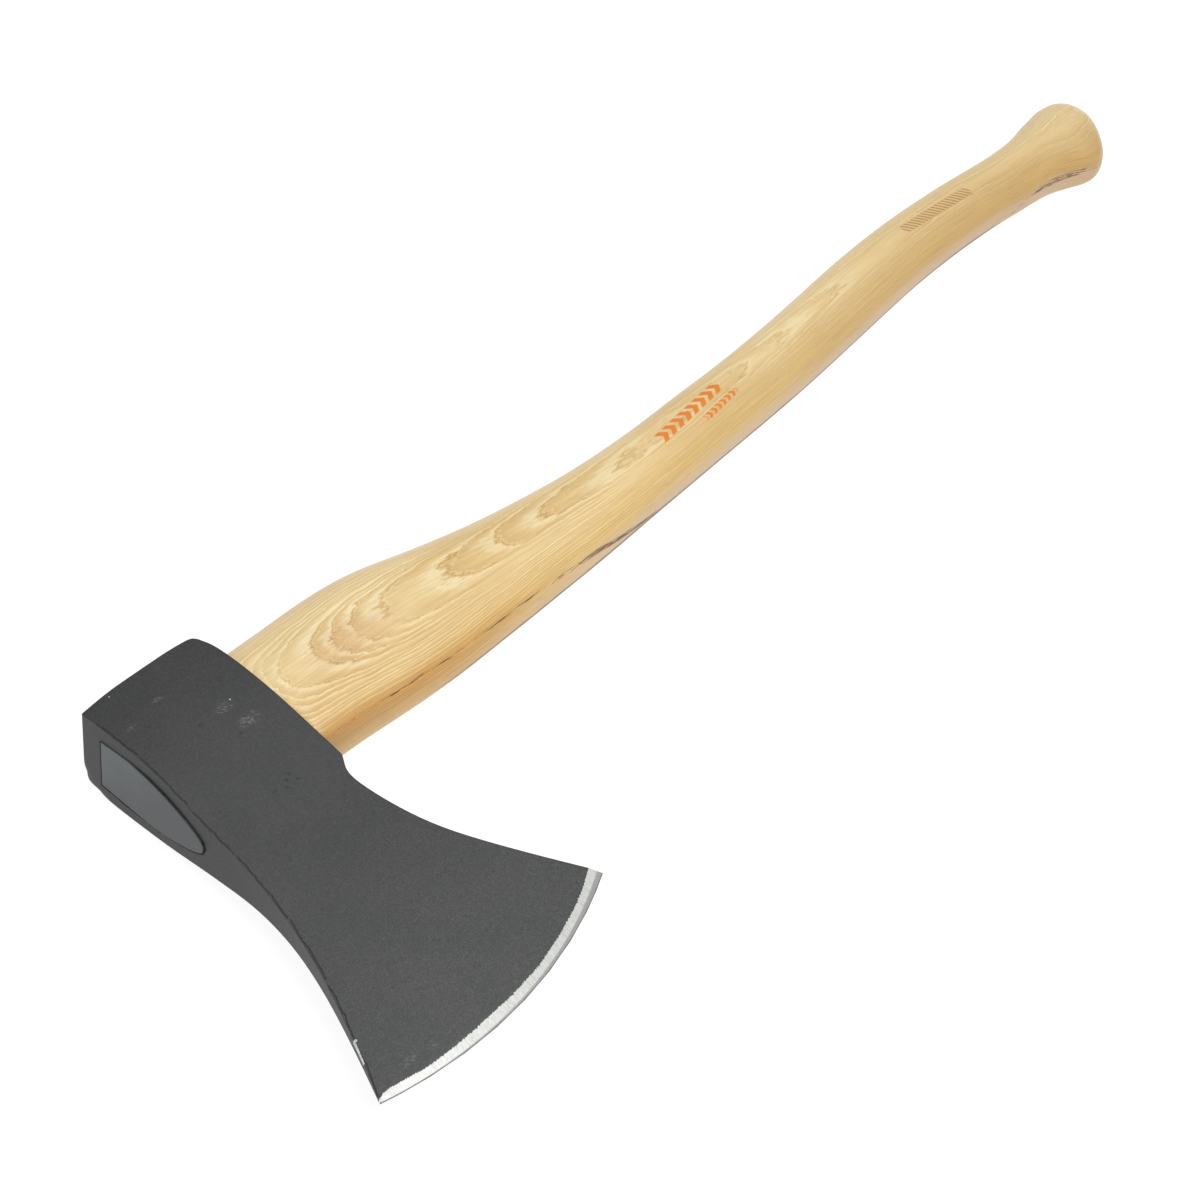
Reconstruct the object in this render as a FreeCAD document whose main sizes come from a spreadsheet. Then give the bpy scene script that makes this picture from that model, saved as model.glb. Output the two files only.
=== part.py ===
import FreeCAD, Part
import math
import os
import Sketcher

from FreeCAD import Placement, Rotation, Vector

# Felling axe, drawn lying on its side. Every piece is drawn in one local frame:
# X runs down the haft from the top face of the head, Y points to the poll and
# Z is across the thickness, with the mid-plane of the axe at Z = 0. The last
# step moves all the pieces together so that the origin is under the middle of
# the axe.

SIZES = [
    ("head_depth", 59.5, "top face of the head to its underside"),
    ("head_thickness", 37.8, "across the two flat cheeks beside the poll"),
    ("poll_reach", 38.6, "eye centre to the striking face of the poll"),
    ("poll_round", 7.0, "radius along the lower edge of the poll"),
    ("poll_corner", 5.0, "radius of the poll corner beside the haft"),
    ("brow_start", -16.0, "where the top of the blade starts to flare"),
    ("lug_reach", -37.0, "bit side end of the underside lug"),
    ("throat_drop", 56.0, "depth of the blade under the lug"),
    ("throat_reach", -45.0, "where the hollow of the beard starts"),
    ("beard_radius", 215.0, "hollow curve from the lug to the heel"),
    ("edge_radius", 166.0, "curve of the cutting edge"),
    ("edge_middle_drop", 19.0, "centre of the edge curve below the top face"),
    ("edge_middle_reach", 8.8, "centre of the edge curve towards the poll"),
    ("toe_drop", -37.3, "toe, above the top face"),
    ("heel_drop", 92.0, "heel, below the top face"),
    ("cheek_end", 18.0, "where the flat cheeks stop"),
    ("shoulder_reach", -32.0, "middle of the sweep from cheek to blade"),
    ("shoulder_half", 11.5, "half thickness there"),
    ("shoulder_radius", 172.6, "outward curve of the cheek"),
    ("blade_reach", -56.0, "where the blade proper starts"),
    ("blade_half", 7.0, "half thickness there"),
    ("blade_radius", 110.0, "inward curve into the blade"),
    ("middle_reach", -112.0, "where the blade starts to thin faster"),
    ("middle_half", 4.9, "half thickness there"),
    ("border_reach", -151.0, "inner border of the ground bevel"),
    ("border_half", 2.1, "half thickness there"),
    ("bevel_width", 6.2, "width of the ground bevel"),
    ("edge_land", 0.3, "thickness left at the cutting edge"),
    ("eye_back", 28.6, "poll end of the eye, at the top face"),
    ("eye_back_half", 12.4, "half width of the eye at its poll end"),
    ("eye_back_corner", 2.0, "radius of the two poll end corners"),
    ("eye_front", -14.0, "where the sides turn in to the nose"),
    ("eye_front_half", 9.4, "half width of the eye there"),
    ("eye_front_corner", 12.0, "radius of that turn"),
    ("eye_tip", -36.0, "where the two nose sides would meet"),
    ("eye_tip_radius", 5.4, "radius of the nose"),
    ("eye_taper", 0.06, "share by which the eye narrows to the underside"),
    ("seal_proud", 1.0, "height of the seal above the head"),
    ("seal_depth", 4.0, "depth of the seal inside the eye"),
    ("seal_round", 0.7, "radius around the face of the seal"),
    ("wedge_depth", 46.0, "length of the wooden wedge"),
    ("wedge_thick", 6.0, "thickness of the wedge at its head"),
    ("wedge_tip", 1.2, "thickness of the wedge at its point"),
    ("haft_end", 700.0, "top face of the head to the end of the knob"),
    ("haft_thick", 29.0, "thickness of the haft at the shoulder"),
    ("grip_thick", 24.5, "thickness of the haft at the grip"),
    ("knob_thick", 30.0, "thickness of the knob"),
    ("haft_square", 2.4, "squareness of the haft section, 2 is an ellipse"),
]

document = FreeCAD.newDocument("felling_axe")
sheet = document.addObject("Spreadsheet::Sheet", "sizes")
for row, (name, value, note) in enumerate(SIZES, start=1):
    sheet.set("A%d" % row, name)
    sheet.set("B%d" % row, str(value))
    sheet.set("C%d" % row, note)
    sheet.setAlias("B%d" % row, name)
document.recompute()


def size(name):
    """Read one size from the sheet, in millimetres."""
    return float(sheet.get(name))


# ---------------------------------------------------------------- sketch tools

def origin_plane(body, role):
    """Find one of the body's own origin planes by its role."""
    for feature in body.Origin.OriginFeatures:
        if feature.Role == role:
            return feature
    raise ValueError("no plane " + role)


def new_sketch(body, name, role, offset=Vector(0, 0, 0)):
    """Add a sketch on one of the body's origin planes, moved by the offset."""
    sketch = body.newObject("Sketcher::SketchObject", name)
    sketch.AttachmentSupport = [(origin_plane(body, role), "")]
    sketch.MapMode = "FlatFace"
    sketch.AttachmentOffset = Placement(offset, Rotation())
    return sketch


def add_line(sketch, start, end):
    """Add a straight edge between two flat points."""
    segment = Part.LineSegment(Vector(start[0], start[1], 0), Vector(end[0], end[1], 0))
    return sketch.addGeometry(segment, False)


def add_arc(sketch, centre, start, end):
    """Add an arc turning anticlockwise from start to end."""
    radius = math.dist(centre, start)
    first = math.atan2(start[1] - centre[1], start[0] - centre[0])
    last = math.atan2(end[1] - centre[1], end[0] - centre[0])
    if last < first:
        last += 2 * math.pi
    circle = Part.Circle(Vector(centre[0], centre[1], 0), Vector(0, 0, 1), radius)
    return sketch.addGeometry(Part.ArcOfCircle(circle, first, last), False)


def join(sketch, first, first_end, second, second_end):
    """Make the ends of two edges meet."""
    sketch.addConstraint(Sketcher.Constraint("Coincident", first, first_end, second, second_end))


def hold(sketch, kind, edge, point, value, expression):
    """Hold one coordinate of a point to a size from the sheet."""
    constraint = Sketcher.Constraint("Distance" + kind, -1, 1, edge, point, value)
    index = sketch.addConstraint(constraint)
    sketch.setExpression("Constraints[%d]" % index, expression)


def hold_radius(sketch, edge, value, expression):
    """Hold the radius of an arc to a size from the sheet."""
    index = sketch.addConstraint(Sketcher.Constraint("Radius", edge, value))
    sketch.setExpression("Constraints[%d]" % index, expression)


def arc_centre(start, end, radius, side):
    """Find the centre of an arc from its ends; side picks left (1) or right (-1)."""
    half_x = (end[0] - start[0]) / 2
    half_y = (end[1] - start[1]) / 2
    half = math.hypot(half_x, half_y)
    away = side * math.sqrt(radius ** 2 - half ** 2) / half
    return (start[0] + half_x - away * half_y, start[1] + half_y + away * half_x)


# -------------------------------------------------------------------- the head

head_blank = document.addObject("PartDesign::Body", "head_blank")

# Side view of the head: poll, underside lug, hollow beard, cutting edge and brow.
depth = size("head_depth")
poll = size("poll_reach")
edge_middle = (size("edge_middle_drop"), size("edge_middle_reach"))
edge_radius = size("edge_radius")


def on_edge(drop):
    """Point of the cutting edge at one distance below the top face."""
    across = drop - edge_middle[0]
    return (drop, edge_middle[1] - math.sqrt(edge_radius ** 2 - across ** 2))


toe = on_edge(size("toe_drop"))
heel = on_edge(size("heel_drop"))
brow = (0.0, size("brow_start"))
lug = (depth, size("lug_reach"))
throat = (size("throat_drop"), size("throat_reach"))
brow_rise = brow[1] - toe[1]
brow_radius = (brow_rise ** 2 + toe[0] ** 2) / (-2 * toe[0])

outline = new_sketch(head_blank, "side_outline", "XY_Plane")
poll_line = add_line(outline, (0, poll), (depth, poll))
under_line = add_line(outline, (depth, poll), lug)
lug_line = add_line(outline, lug, throat)
beard = add_arc(outline, arc_centre(throat, heel, size("beard_radius"), 1), throat, heel)
edge = add_arc(outline, edge_middle, toe, heel)
brow_arc = add_arc(outline, (-brow_radius, brow[1]), toe, brow)
top_line = add_line(outline, brow, (0, poll))
join(outline, poll_line, 2, under_line, 1)
join(outline, under_line, 2, lug_line, 1)
join(outline, lug_line, 2, beard, 1)
join(outline, beard, 2, edge, 2)
join(outline, edge, 1, brow_arc, 1)
join(outline, top_line, 2, poll_line, 1)
outline.addConstraint(Sketcher.Constraint("Tangent", brow_arc, 2, top_line, 1))
outline.addConstraint(Sketcher.Constraint("Vertical", top_line))
outline.addConstraint(Sketcher.Constraint("PointOnObject", poll_line, 1, -2))
outline.addConstraint(Sketcher.Constraint("Horizontal", poll_line))
outline.addConstraint(Sketcher.Constraint("Vertical", under_line))
hold(outline, "Y", poll_line, 1, poll, "sizes.poll_reach")
hold(outline, "X", poll_line, 2, depth, "sizes.head_depth")
hold(outline, "Y", lug_line, 1, lug[1], "sizes.lug_reach")
hold(outline, "X", beard, 1, throat[0], "sizes.throat_drop")
hold(outline, "Y", beard, 1, throat[1], "sizes.throat_reach")
hold_radius(outline, beard, size("beard_radius"), "sizes.beard_radius")
hold(outline, "X", edge, 3, edge_middle[0], "sizes.edge_middle_drop")
hold(outline, "Y", edge, 3, edge_middle[1], "sizes.edge_middle_reach")
hold_radius(outline, edge, edge_radius, "sizes.edge_radius")
hold(outline, "X", edge, 1, toe[0], "sizes.toe_drop")
hold(outline, "X", edge, 2, heel[0], "sizes.heel_drop")
hold(outline, "Y", top_line, 1, brow[1], "sizes.brow_start")

blank = head_blank.newObject("PartDesign::Pad", "blank")
blank.Profile = outline
blank.Midplane = True
blank.setExpression("Length", "sizes.head_thickness")
document.recompute()


def edges_at(shape, test):
    """Names of the edges whose middle point passes the test."""
    names = []
    for number, one_edge in enumerate(shape.Edges, start=1):
        middle = one_edge.CenterOfMass
        if test(middle, one_edge):
            names.append("Edge%d" % number)
    return names


def add_fillet(body, name, test, expression):
    """Round the edges of the body's last feature that pass the test."""
    base = body.Tip
    fillet = body.newObject("PartDesign::Fillet", name)
    fillet.Base = (base, edges_at(base.Shape, test))
    fillet.setExpression("Radius", expression)
    document.recompute()
    return fillet


half = size("head_thickness") / 2
add_fillet(
    head_blank, "poll_edge_round",
    lambda middle, one: abs(middle.y - poll) < 0.1 and abs(middle.z + half) < 0.1,
    "sizes.poll_round")

# The poll corner beside the haft is cut round through the whole thickness.
corner = size("poll_corner")
reach = size("head_thickness")
corner_waste = new_sketch(head_blank, "corner_waste", "XY_Plane")
corner_arc = add_arc(
    corner_waste, (depth - corner, poll - corner),
    (depth, poll - corner), (depth - corner, poll))
waste_points = [
    (depth, poll - corner),
    (depth + reach, poll - corner),
    (depth + reach, poll + reach),
    (depth - corner, poll + reach),
    (depth - corner, poll),
]
waste_lines = []
for start, end in zip(waste_points, waste_points[1:]):
    waste_lines.append(add_line(corner_waste, start, end))
for number in range(3):
    join(corner_waste, waste_lines[number], 2, waste_lines[number + 1], 1)
join(corner_waste, corner_arc, 1, waste_lines[0], 1)
join(corner_waste, corner_arc, 2, waste_lines[3], 2)
for number, kind in enumerate(("Horizontal", "Vertical", "Horizontal", "Vertical")):
    corner_waste.addConstraint(Sketcher.Constraint(kind, waste_lines[number]))
hold(corner_waste, "X", corner_arc, 3, depth - corner, "sizes.head_depth - sizes.poll_corner")
hold(corner_waste, "Y", corner_arc, 3, poll - corner, "sizes.poll_reach - sizes.poll_corner")
hold(corner_waste, "X", corner_arc, 1, depth, "sizes.head_depth")
hold(corner_waste, "X", corner_arc, 2, depth - corner, "sizes.head_depth - sizes.poll_corner")
hold(corner_waste, "X", waste_lines[1], 1, depth + reach, "sizes.head_depth + sizes.head_thickness")
hold(corner_waste, "Y", waste_lines[1], 2, poll + reach, "sizes.poll_reach + sizes.head_thickness")
hold(corner_waste, "Y", waste_lines[0], 1, poll - corner, "sizes.poll_reach - sizes.poll_corner")
before = head_blank.Shape.Volume
corner_cut = head_blank.newObject("PartDesign::Pocket", "corner_cut")
corner_cut.Profile = corner_waste
corner_cut.Midplane = True
corner_cut.setExpression("Length", "2 * sizes.head_thickness")
document.recompute()
if not head_blank.Shape.Volume < before:
    raise ValueError("the corner cut removed nothing")

# The cheeks sweep in to the blade. One closed loop is cut away on each side.
cheeks = new_sketch(head_blank, "cheek_sweep", "YZ_Plane")
clear = size("head_thickness")
far = size("border_reach") - 4 * size("bevel_width")


def cheek_loop(side):
    """Draw the waste beside one cheek; side is 1 for +Z and -1 for -Z."""
    start = (size("cheek_end"), side * half)
    sweep = (size("shoulder_reach"), side * size("shoulder_half"))
    blade = (size("blade_reach"), side * size("blade_half"))
    middle = (size("middle_reach"), side * size("middle_half"))
    border = (size("border_reach"), side * size("border_half"))
    outward = arc_centre(start, sweep, size("shoulder_radius"), side)
    inward = arc_centre(sweep, blade, size("blade_radius"), -side)
    if side > 0:
        first = add_arc(cheeks, outward, start, sweep)
        second = add_arc(cheeks, inward, blade, sweep)
        first_ends, second_ends = (1, 2), (2, 1)
    else:
        first = add_arc(cheeks, outward, sweep, start)
        second = add_arc(cheeks, inward, sweep, blade)
        first_ends, second_ends = (2, 1), (1, 2)
    third = add_line(cheeks, blade, middle)
    fourth = add_line(cheeks, middle, border)
    tail = add_line(cheeks, border, (far, border[1]))
    rise = add_line(cheeks, (far, border[1]), (far, side * clear))
    back = add_line(cheeks, (far, side * clear), (start[0], side * clear))
    drop = add_line(cheeks, (start[0], side * clear), start)
    join(cheeks, first, first_ends[1], second, second_ends[0])
    join(cheeks, second, second_ends[1], third, 1)
    join(cheeks, third, 2, fourth, 1)
    join(cheeks, fourth, 2, tail, 1)
    join(cheeks, tail, 2, rise, 1)
    join(cheeks, rise, 2, back, 1)
    join(cheeks, back, 2, drop, 1)
    join(cheeks, drop, 2, first, first_ends[0])
    for line in (tail, back):
        cheeks.addConstraint(Sketcher.Constraint("Horizontal", line))
    for line in (rise, drop):
        cheeks.addConstraint(Sketcher.Constraint("Vertical", line))
    sign = "" if side > 0 else "-"
    held = (
        (first, first_ends[0], start, "cheek_end", "head_thickness / 2"),
        (third, 1, blade, "blade_reach", "blade_half"),
        (fourth, 1, middle, "middle_reach", "middle_half"),
        (tail, 1, border, "border_reach", "border_half"),
        (second, second_ends[0], sweep, "shoulder_reach", "shoulder_half"),
    )
    for item, end, place, reach_name, half_name in held:
        hold(cheeks, "X", item, end, place[0], "sizes." + reach_name)
        hold(cheeks, "Y", item, end, place[1], sign + "sizes." + half_name)
    hold_radius(cheeks, first, size("shoulder_radius"), "sizes.shoulder_radius")
    hold_radius(cheeks, second, size("blade_radius"), "sizes.blade_radius")
    hold(cheeks, "X", rise, 1, far, "sizes.border_reach - 4 * sizes.bevel_width")
    hold(cheeks, "Y", back, 1, side * clear, sign + "sizes.head_thickness")


cheek_loop(1)
cheek_loop(-1)
before = head_blank.Shape.Volume
sweep_cut = head_blank.newObject("PartDesign::Pocket", "sweep_cut")
sweep_cut.Profile = cheeks
sweep_cut.Midplane = True
sweep_cut.setExpression("Length", "4 * sizes.edge_radius")
document.recompute()
if not head_blank.Shape.Volume < before:
    raise ValueError("the cheek cut removed nothing")

# The ground bevels are cones about the centre of the edge curve.
bevels = new_sketch(
    head_blank, "bevel_waste", "YZ_Plane",
    Vector(edge_middle[1], 0, edge_middle[0]))
bevels.setExpression("AttachmentOffset.Base.x", "sizes.edge_middle_reach")
bevels.setExpression("AttachmentOffset.Base.z", "sizes.edge_middle_drop")
run = 4 * size("bevel_width")
land = size("edge_land") / 2
rise_per_width = (size("border_half") - land) / size("bevel_width")


def bevel_loop(side):
    """Draw the waste above one bevel; side is 1 for +Z and -1 for -Z."""
    rim = (-edge_radius, side * land)
    inner = (-(edge_radius - run), side * (land + rise_per_width * run))
    outer = (-(edge_radius + run), rim[1])
    top = (outer[0], inner[1])
    lines = []
    corners = [rim, inner, top, outer]
    for first, second in zip(corners, corners[1:] + corners[:1]):
        lines.append(add_line(bevels, first, second))
    for number in range(4):
        join(bevels, lines[number], 2, lines[(number + 1) % 4], 1)
    for number in (1, 3):
        bevels.addConstraint(Sketcher.Constraint("Horizontal", lines[number]))
    bevels.addConstraint(Sketcher.Constraint("Vertical", lines[2]))
    sign = "" if side > 0 else "-"
    slope = "(sizes.border_half - sizes.edge_land / 2)"
    hold(bevels, "X", lines[0], 1, rim[0], "-sizes.edge_radius")
    hold(bevels, "Y", lines[0], 1, rim[1], sign + "sizes.edge_land / 2")
    hold(bevels, "X", lines[1], 1, inner[0], "-sizes.edge_radius + 4 * sizes.bevel_width")
    hold(bevels, "Y", lines[1], 1, inner[1], sign + "(sizes.edge_land / 2 + 4 * " + slope + ")")
    hold(bevels, "X", lines[2], 1, outer[0], "-sizes.edge_radius - 4 * sizes.bevel_width")


bevel_loop(1)
bevel_loop(-1)
before = head_blank.Shape.Volume
grind = head_blank.newObject("PartDesign::Groove", "grind")
grind.Profile = bevels
grind.ReferenceAxis = (bevels, ["V_Axis"])
grind.Midplane = True
grind.Angle = 120
document.recompute()
if not head_blank.Shape.Volume < before:
    raise ValueError("the bevel cut removed nothing")

# -------------------------------------------------------------- the tapered eye


def eye_corners():
    """Corners of the eye at the top face, each with its rounding radius."""
    back = (size("eye_back"), size("eye_back_half"), size("eye_back_corner"))
    front = (size("eye_front"), size("eye_front_half"), size("eye_front_corner"))
    tip = (size("eye_tip"), 0.0, size("eye_tip_radius"))
    return [
        back,
        front,
        tip,
        (front[0], -front[1], front[2]),
        (back[0], -back[1], back[2]),
    ]


def eye_wire(drop):
    """Outline of the eye at one distance below the top face."""
    scale = 1 - size("eye_taper") * drop / size("head_depth")
    corners = eye_corners()
    count = len(corners)
    joints = []
    for number, (y, z, radius) in enumerate(corners):
        here = Vector(drop, y * scale, z * scale)
        previous = corners[number - 1]
        following = corners[(number + 1) % count]
        to_previous = Vector(0, previous[0] - y, previous[1] - z).normalize()
        to_following = Vector(0, following[0] - y, following[1] - z).normalize()
        half_angle = to_previous.getAngle(to_following) / 2
        back_off = radius * scale / math.tan(half_angle)
        inward = (to_previous + to_following).normalize()
        bulge = radius * scale * (1 / math.sin(half_angle) - 1)
        joints.append((
            here + to_previous * back_off,
            here + inward * bulge,
            here + to_following * back_off))
    edges = []
    for number, (start, middle, end) in enumerate(joints):
        edges.append(Part.Arc(start, middle, end).toShape())
        edges.append(Part.LineSegment(end, joints[(number + 1) % count][0]).toShape())
    return Part.Wire(edges)


def eye_core(top, bottom):
    """Solid that fills the eye between two distances below the top face."""
    return Part.makeLoft([eye_wire(top), eye_wire(bottom)], True, True)


def wedge_block():
    """Wedge across the thickness, wider than the eye along Y."""
    top = size("seal_depth")
    bottom = top + size("wedge_depth")
    reach = size("poll_reach")
    wide = size("wedge_thick") / 2
    narrow = size("wedge_tip") / 2
    corners = [
        Vector(top, -reach, -wide),
        Vector(bottom, -reach, -narrow),
        Vector(bottom, -reach, narrow),
        Vector(top, -reach, wide),
    ]
    face = Part.Face(Part.makePolygon(corners + corners[:1]))
    return face.extrude(Vector(0, 2 * reach, 0))


margin = size("head_depth") / 10
eye_tool = document.addObject("Part::Feature", "eye_tool")
eye_tool.Shape = eye_core(-margin, depth + margin)

axe_head = document.addObject("Part::Cut", "axe_head")
axe_head.Base = head_blank
axe_head.Tool = eye_tool

# ------------------------------------------------------- wooden wedge and seal

seal_depth = size("seal_depth")
kerf_wedge = document.addObject("Part::Feature", "kerf_wedge")
kerf_wedge.Shape = eye_core(seal_depth, depth).common(wedge_block())

seal_blank = document.addObject("Part::Feature", "seal_blank")
seal_blank.Shape = eye_core(-size("seal_proud"), seal_depth)
document.recompute()
rim_edges = []
for number, one_edge in enumerate(seal_blank.Shape.Edges, start=1):
    if abs(one_edge.CenterOfMass.x + size("seal_proud")) < 0.001:
        rim_edges.append((number, size("seal_round"), size("seal_round")))
eye_seal = document.addObject("Part::Fillet", "eye_seal")
eye_seal.Base = seal_blank
eye_seal.Edges = rim_edges

# -------------------------------------------------------------------- the haft
# Stations down the haft: share of the length from the underside of the head to
# the end of the knob, centre of the section towards the poll, and its width.
STATIONS = [
    (0.0, 3.0, 63.6),
    (0.046, 2.2, 65.6),
    (0.096, 0.0, 67.2),
    (0.152, -4.6, 58.8),
    (0.212, -8.4, 50.4),
    (0.283, -11.0, 42.9),
    (0.369, -10.7, 38.4),
    (0.471, -8.6, 37.7),
    (0.577, -4.5, 38.0),
    (0.688, 0.5, 37.9),
    (0.774, 0.8, 36.2),
    (0.855, -2.1, 35.0),
    (0.892, -3.1, 37.4),
    (0.920, -4.0, 43.0),
    (0.944, -5.2, 47.6),
    (0.963, -4.8, 46.2),
]
# Share of the length, and share of the way from shoulder thickness to grip
# thickness; past the grip the haft swells again to the knob.
THINNING = [(0.0, 0.0), (0.10, 0.2), (0.33, 0.6), (0.60, 0.85), (0.86, 1.0)]


def haft_thickness(share):
    """Thickness of the haft at one share of its length."""
    thick = size("haft_thick")
    grip = size("grip_thick")
    last_share = THINNING[-1][0]
    if share >= last_share:
        along = min(1.0, (share - last_share) / 0.08)
        return grip + (size("knob_thick") - grip) * along
    for (left, low), (right, high) in zip(THINNING, THINNING[1:]):
        if share <= right:
            part = low + (high - low) * (share - left) / (right - left)
            return thick + (grip - thick) * part


def haft_section(drop, centre, width, thick):
    """Closed outline of one haft section, a rounded square oval in four curves."""
    power = 2 / size("haft_square")
    steps = 5
    curves = []
    for quarter in range(4):
        points = []
        for step in range(steps + 1):
            angle = (quarter + step / steps) * math.pi / 2 + math.pi / 4
            across = math.copysign(abs(math.cos(angle)) ** power, math.cos(angle))
            up = math.copysign(abs(math.sin(angle)) ** power, math.sin(angle))
            points.append(Vector(drop, centre + width / 2 * across, thick / 2 * up))
        curve = Part.BSplineCurve()
        curve.interpolate(Points=points)
        curves.append(curve.toShape())
    return Part.Wire(curves)


def haft_sections():
    """All the sections from the shoulder to the rounded end of the knob."""
    start = size("head_depth")
    length = size("haft_end") - start
    wires = []
    for share, centre, width in STATIONS:
        wires.append(haft_section(start + share * length, centre, width, haft_thickness(share)))
    _, centre, width = STATIONS[-1]
    thick = size("knob_thick")
    first = STATIONS[-1][0]
    for turn in (0.45, 0.75, 0.97):
        share = first + (1 - first) * math.sin(turn * math.pi / 2)
        shrink = math.cos(turn * math.pi / 2)
        wires.append(haft_section(
            start + share * length,
            centre + 2.5 * turn,
            width * shrink ** 0.8,
            thick * shrink ** 0.8))
    return wires


haft = document.addObject("Part::Feature", "haft")
tongue = eye_core(seal_depth, depth).cut(wedge_block())
haft.Shape = Part.makeLoft(haft_sections(), True, False).fuse(tongue)
document.recompute()

# ------------------------------------------------- placing, checking, writing

pieces = [axe_head, haft, kerf_wedge, eye_seal]
whole = Part.makeCompound([piece.Shape for piece in pieces]).optimalBoundingBox()
middle = Vector((whole.XMin + whole.XMax) / 2, (whole.YMin + whole.YMax) / 2, whole.ZMin)
for piece in pieces:
    piece.Placement = Placement(middle.negative(), Rotation())
document.recompute()

for item in document.Objects:
    if "Invalid" in item.State or "Error" in item.State:
        raise ValueError("%s did not build" % item.Label)
    shape = getattr(item, "Shape", None)
    if shape is not None and (shape.isNull() or not shape.isValid()):
        raise ValueError("%s has no sound shape" % item.Label)
os.makedirs("parts", exist_ok=True)
for piece in pieces:
    shape = piece.Shape
    if shape.isNull() or not shape.isValid() or len(shape.Solids) != 1:
        raise ValueError("%s is not one sound solid" % piece.Label)
    shape.exportStep("parts/%s.step" % piece.Label)
    print("%s %.1f cm3" % (piece.Label, shape.Volume / 1000))
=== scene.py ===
"""A felling axe with a painted forged head and a curved hickory haft, lying on its side."""

import logging
import math
from dataclasses import dataclass
from enum import Enum
from typing import Callable, Iterable

import bmesh
import bpy
from mathutils import Matrix, Vector


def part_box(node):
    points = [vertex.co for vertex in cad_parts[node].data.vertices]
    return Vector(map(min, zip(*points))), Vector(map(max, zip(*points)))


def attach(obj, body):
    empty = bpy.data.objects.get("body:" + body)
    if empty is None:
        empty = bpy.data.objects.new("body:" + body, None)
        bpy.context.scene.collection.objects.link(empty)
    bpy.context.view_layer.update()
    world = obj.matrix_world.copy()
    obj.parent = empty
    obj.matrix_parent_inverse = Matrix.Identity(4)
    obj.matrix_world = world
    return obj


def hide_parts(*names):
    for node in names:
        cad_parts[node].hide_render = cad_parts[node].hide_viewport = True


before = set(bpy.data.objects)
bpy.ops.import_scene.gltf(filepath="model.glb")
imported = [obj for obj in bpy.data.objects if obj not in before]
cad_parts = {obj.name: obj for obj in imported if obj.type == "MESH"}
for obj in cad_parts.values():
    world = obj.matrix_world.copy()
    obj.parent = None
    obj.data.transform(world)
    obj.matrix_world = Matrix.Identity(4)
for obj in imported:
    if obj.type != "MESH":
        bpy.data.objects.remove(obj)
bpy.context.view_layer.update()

MM = 0.001

# How near two places count as one, and as lying on an outline point, in millimetres.
SAME_PLACE = 0.01
ON_OUTLINE = 0.03

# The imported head's box as seen from the middle of the eye, in millimetres.
TOE_ABOVE_TOP_FACE = 37.3
POLL_REACH = 38.6
HALF_THICKNESS = 18.9

# How far in from the brow the head changes thickness, and how quickly.
BROW_SHARE = 0.35
BROW_FALL = 1.5

Point = tuple[float, float, float]
Colour = tuple[float, float, float]
Curve = tuple[tuple[float, float], ...]
Test = Callable[[Vector], bool]
Socket = bpy.types.NodeSocket
Sockets = "bpy.types.NodeSocket | float"


class Crease(float, Enum):
    """How sharp an edge stays when the surface is smoothed."""

    EASED = 0.7
    CRISP = 0.88
    SHARP = 1.0


# ------------------------------------------------------------------ where things are


@dataclass(frozen=True)
class AxeSpace:
    """The axe's own measuring frame, in millimetres.

    X runs down the haft from the top face of the head, Y points to the poll
    from the middle of the eye, and Z is across the thickness from mid-plane.
    """

    origin: Vector

    @classmethod
    def from_frame(cls) -> "AxeSpace":
        """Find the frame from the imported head.

        Returns:
            The space whose origin is the middle of the eye at the top face.
        """
        low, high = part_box("axe_head")
        return cls(Vector((
            low.x + TOE_ABOVE_TOP_FACE * MM,
            high.y - POLL_REACH * MM,
            low.z + HALF_THICKNESS * MM)))

    def at(self, x: float, y: float, z: float) -> Vector:
        """Turn axe millimetres into a scene point.

        Args:
            x: Distance down the haft.
            y: Distance towards the poll.
            z: Height above mid-plane.

        Returns:
            The same point in scene metres.
        """
        return self.origin + Vector((x, y, z)) * MM

    def local(self, point: Vector) -> Vector:
        """Turn a scene point into axe millimetres."""
        return (point - self.origin) / MM


# ------------------------------------------------------------------ the head's own lines


@dataclass(frozen=True)
class CuttingEdge:
    """The arc of the cutting edge and the ground strip behind it, seen from above."""

    centre: tuple[float, float] = (17.4, 28.5)
    radius: float = 184.6
    widths: tuple[tuple[float, float], ...] = (
        (-38.5, 0.3), (-37.4, 1.1), (-35.0, 2.4), (-31.0, 3.4), (-25.0, 3.4), (-17.0, 3.2),
        (-8.0, 3.4), (1.0, 3.7), (18.0, 4.2), (29.0, 4.0), (49.0, 4.0), (65.0, 4.4),
        (75.0, 4.6), (89.0, 5.5), (96.0, 5.8))

    def width_at(self, x: float) -> float:
        """Width of the ground strip at one distance down the head.

        Args:
            x: Distance down the haft, in millimetres.

        Returns:
            The width, in millimetres.
        """
        for (left, low), (right, high) in zip(self.widths, self.widths[1:]):
            if x <= right:
                return low + (high - low) * (x - left) / (right - left)
        return self.widths[-1][1]

    def height_at(self, x: float, inward: float) -> float:
        """Y of the arc that lies a distance in from the edge."""
        across = x - self.centre[0]
        return self.centre[1] - math.sqrt((self.radius - inward) ** 2 - across ** 2)


class RowKind(Enum):
    """Which line across the head a row follows."""

    CHEEK = "cheek"
    BORDER = "border"
    EDGE = "edge"


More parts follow.
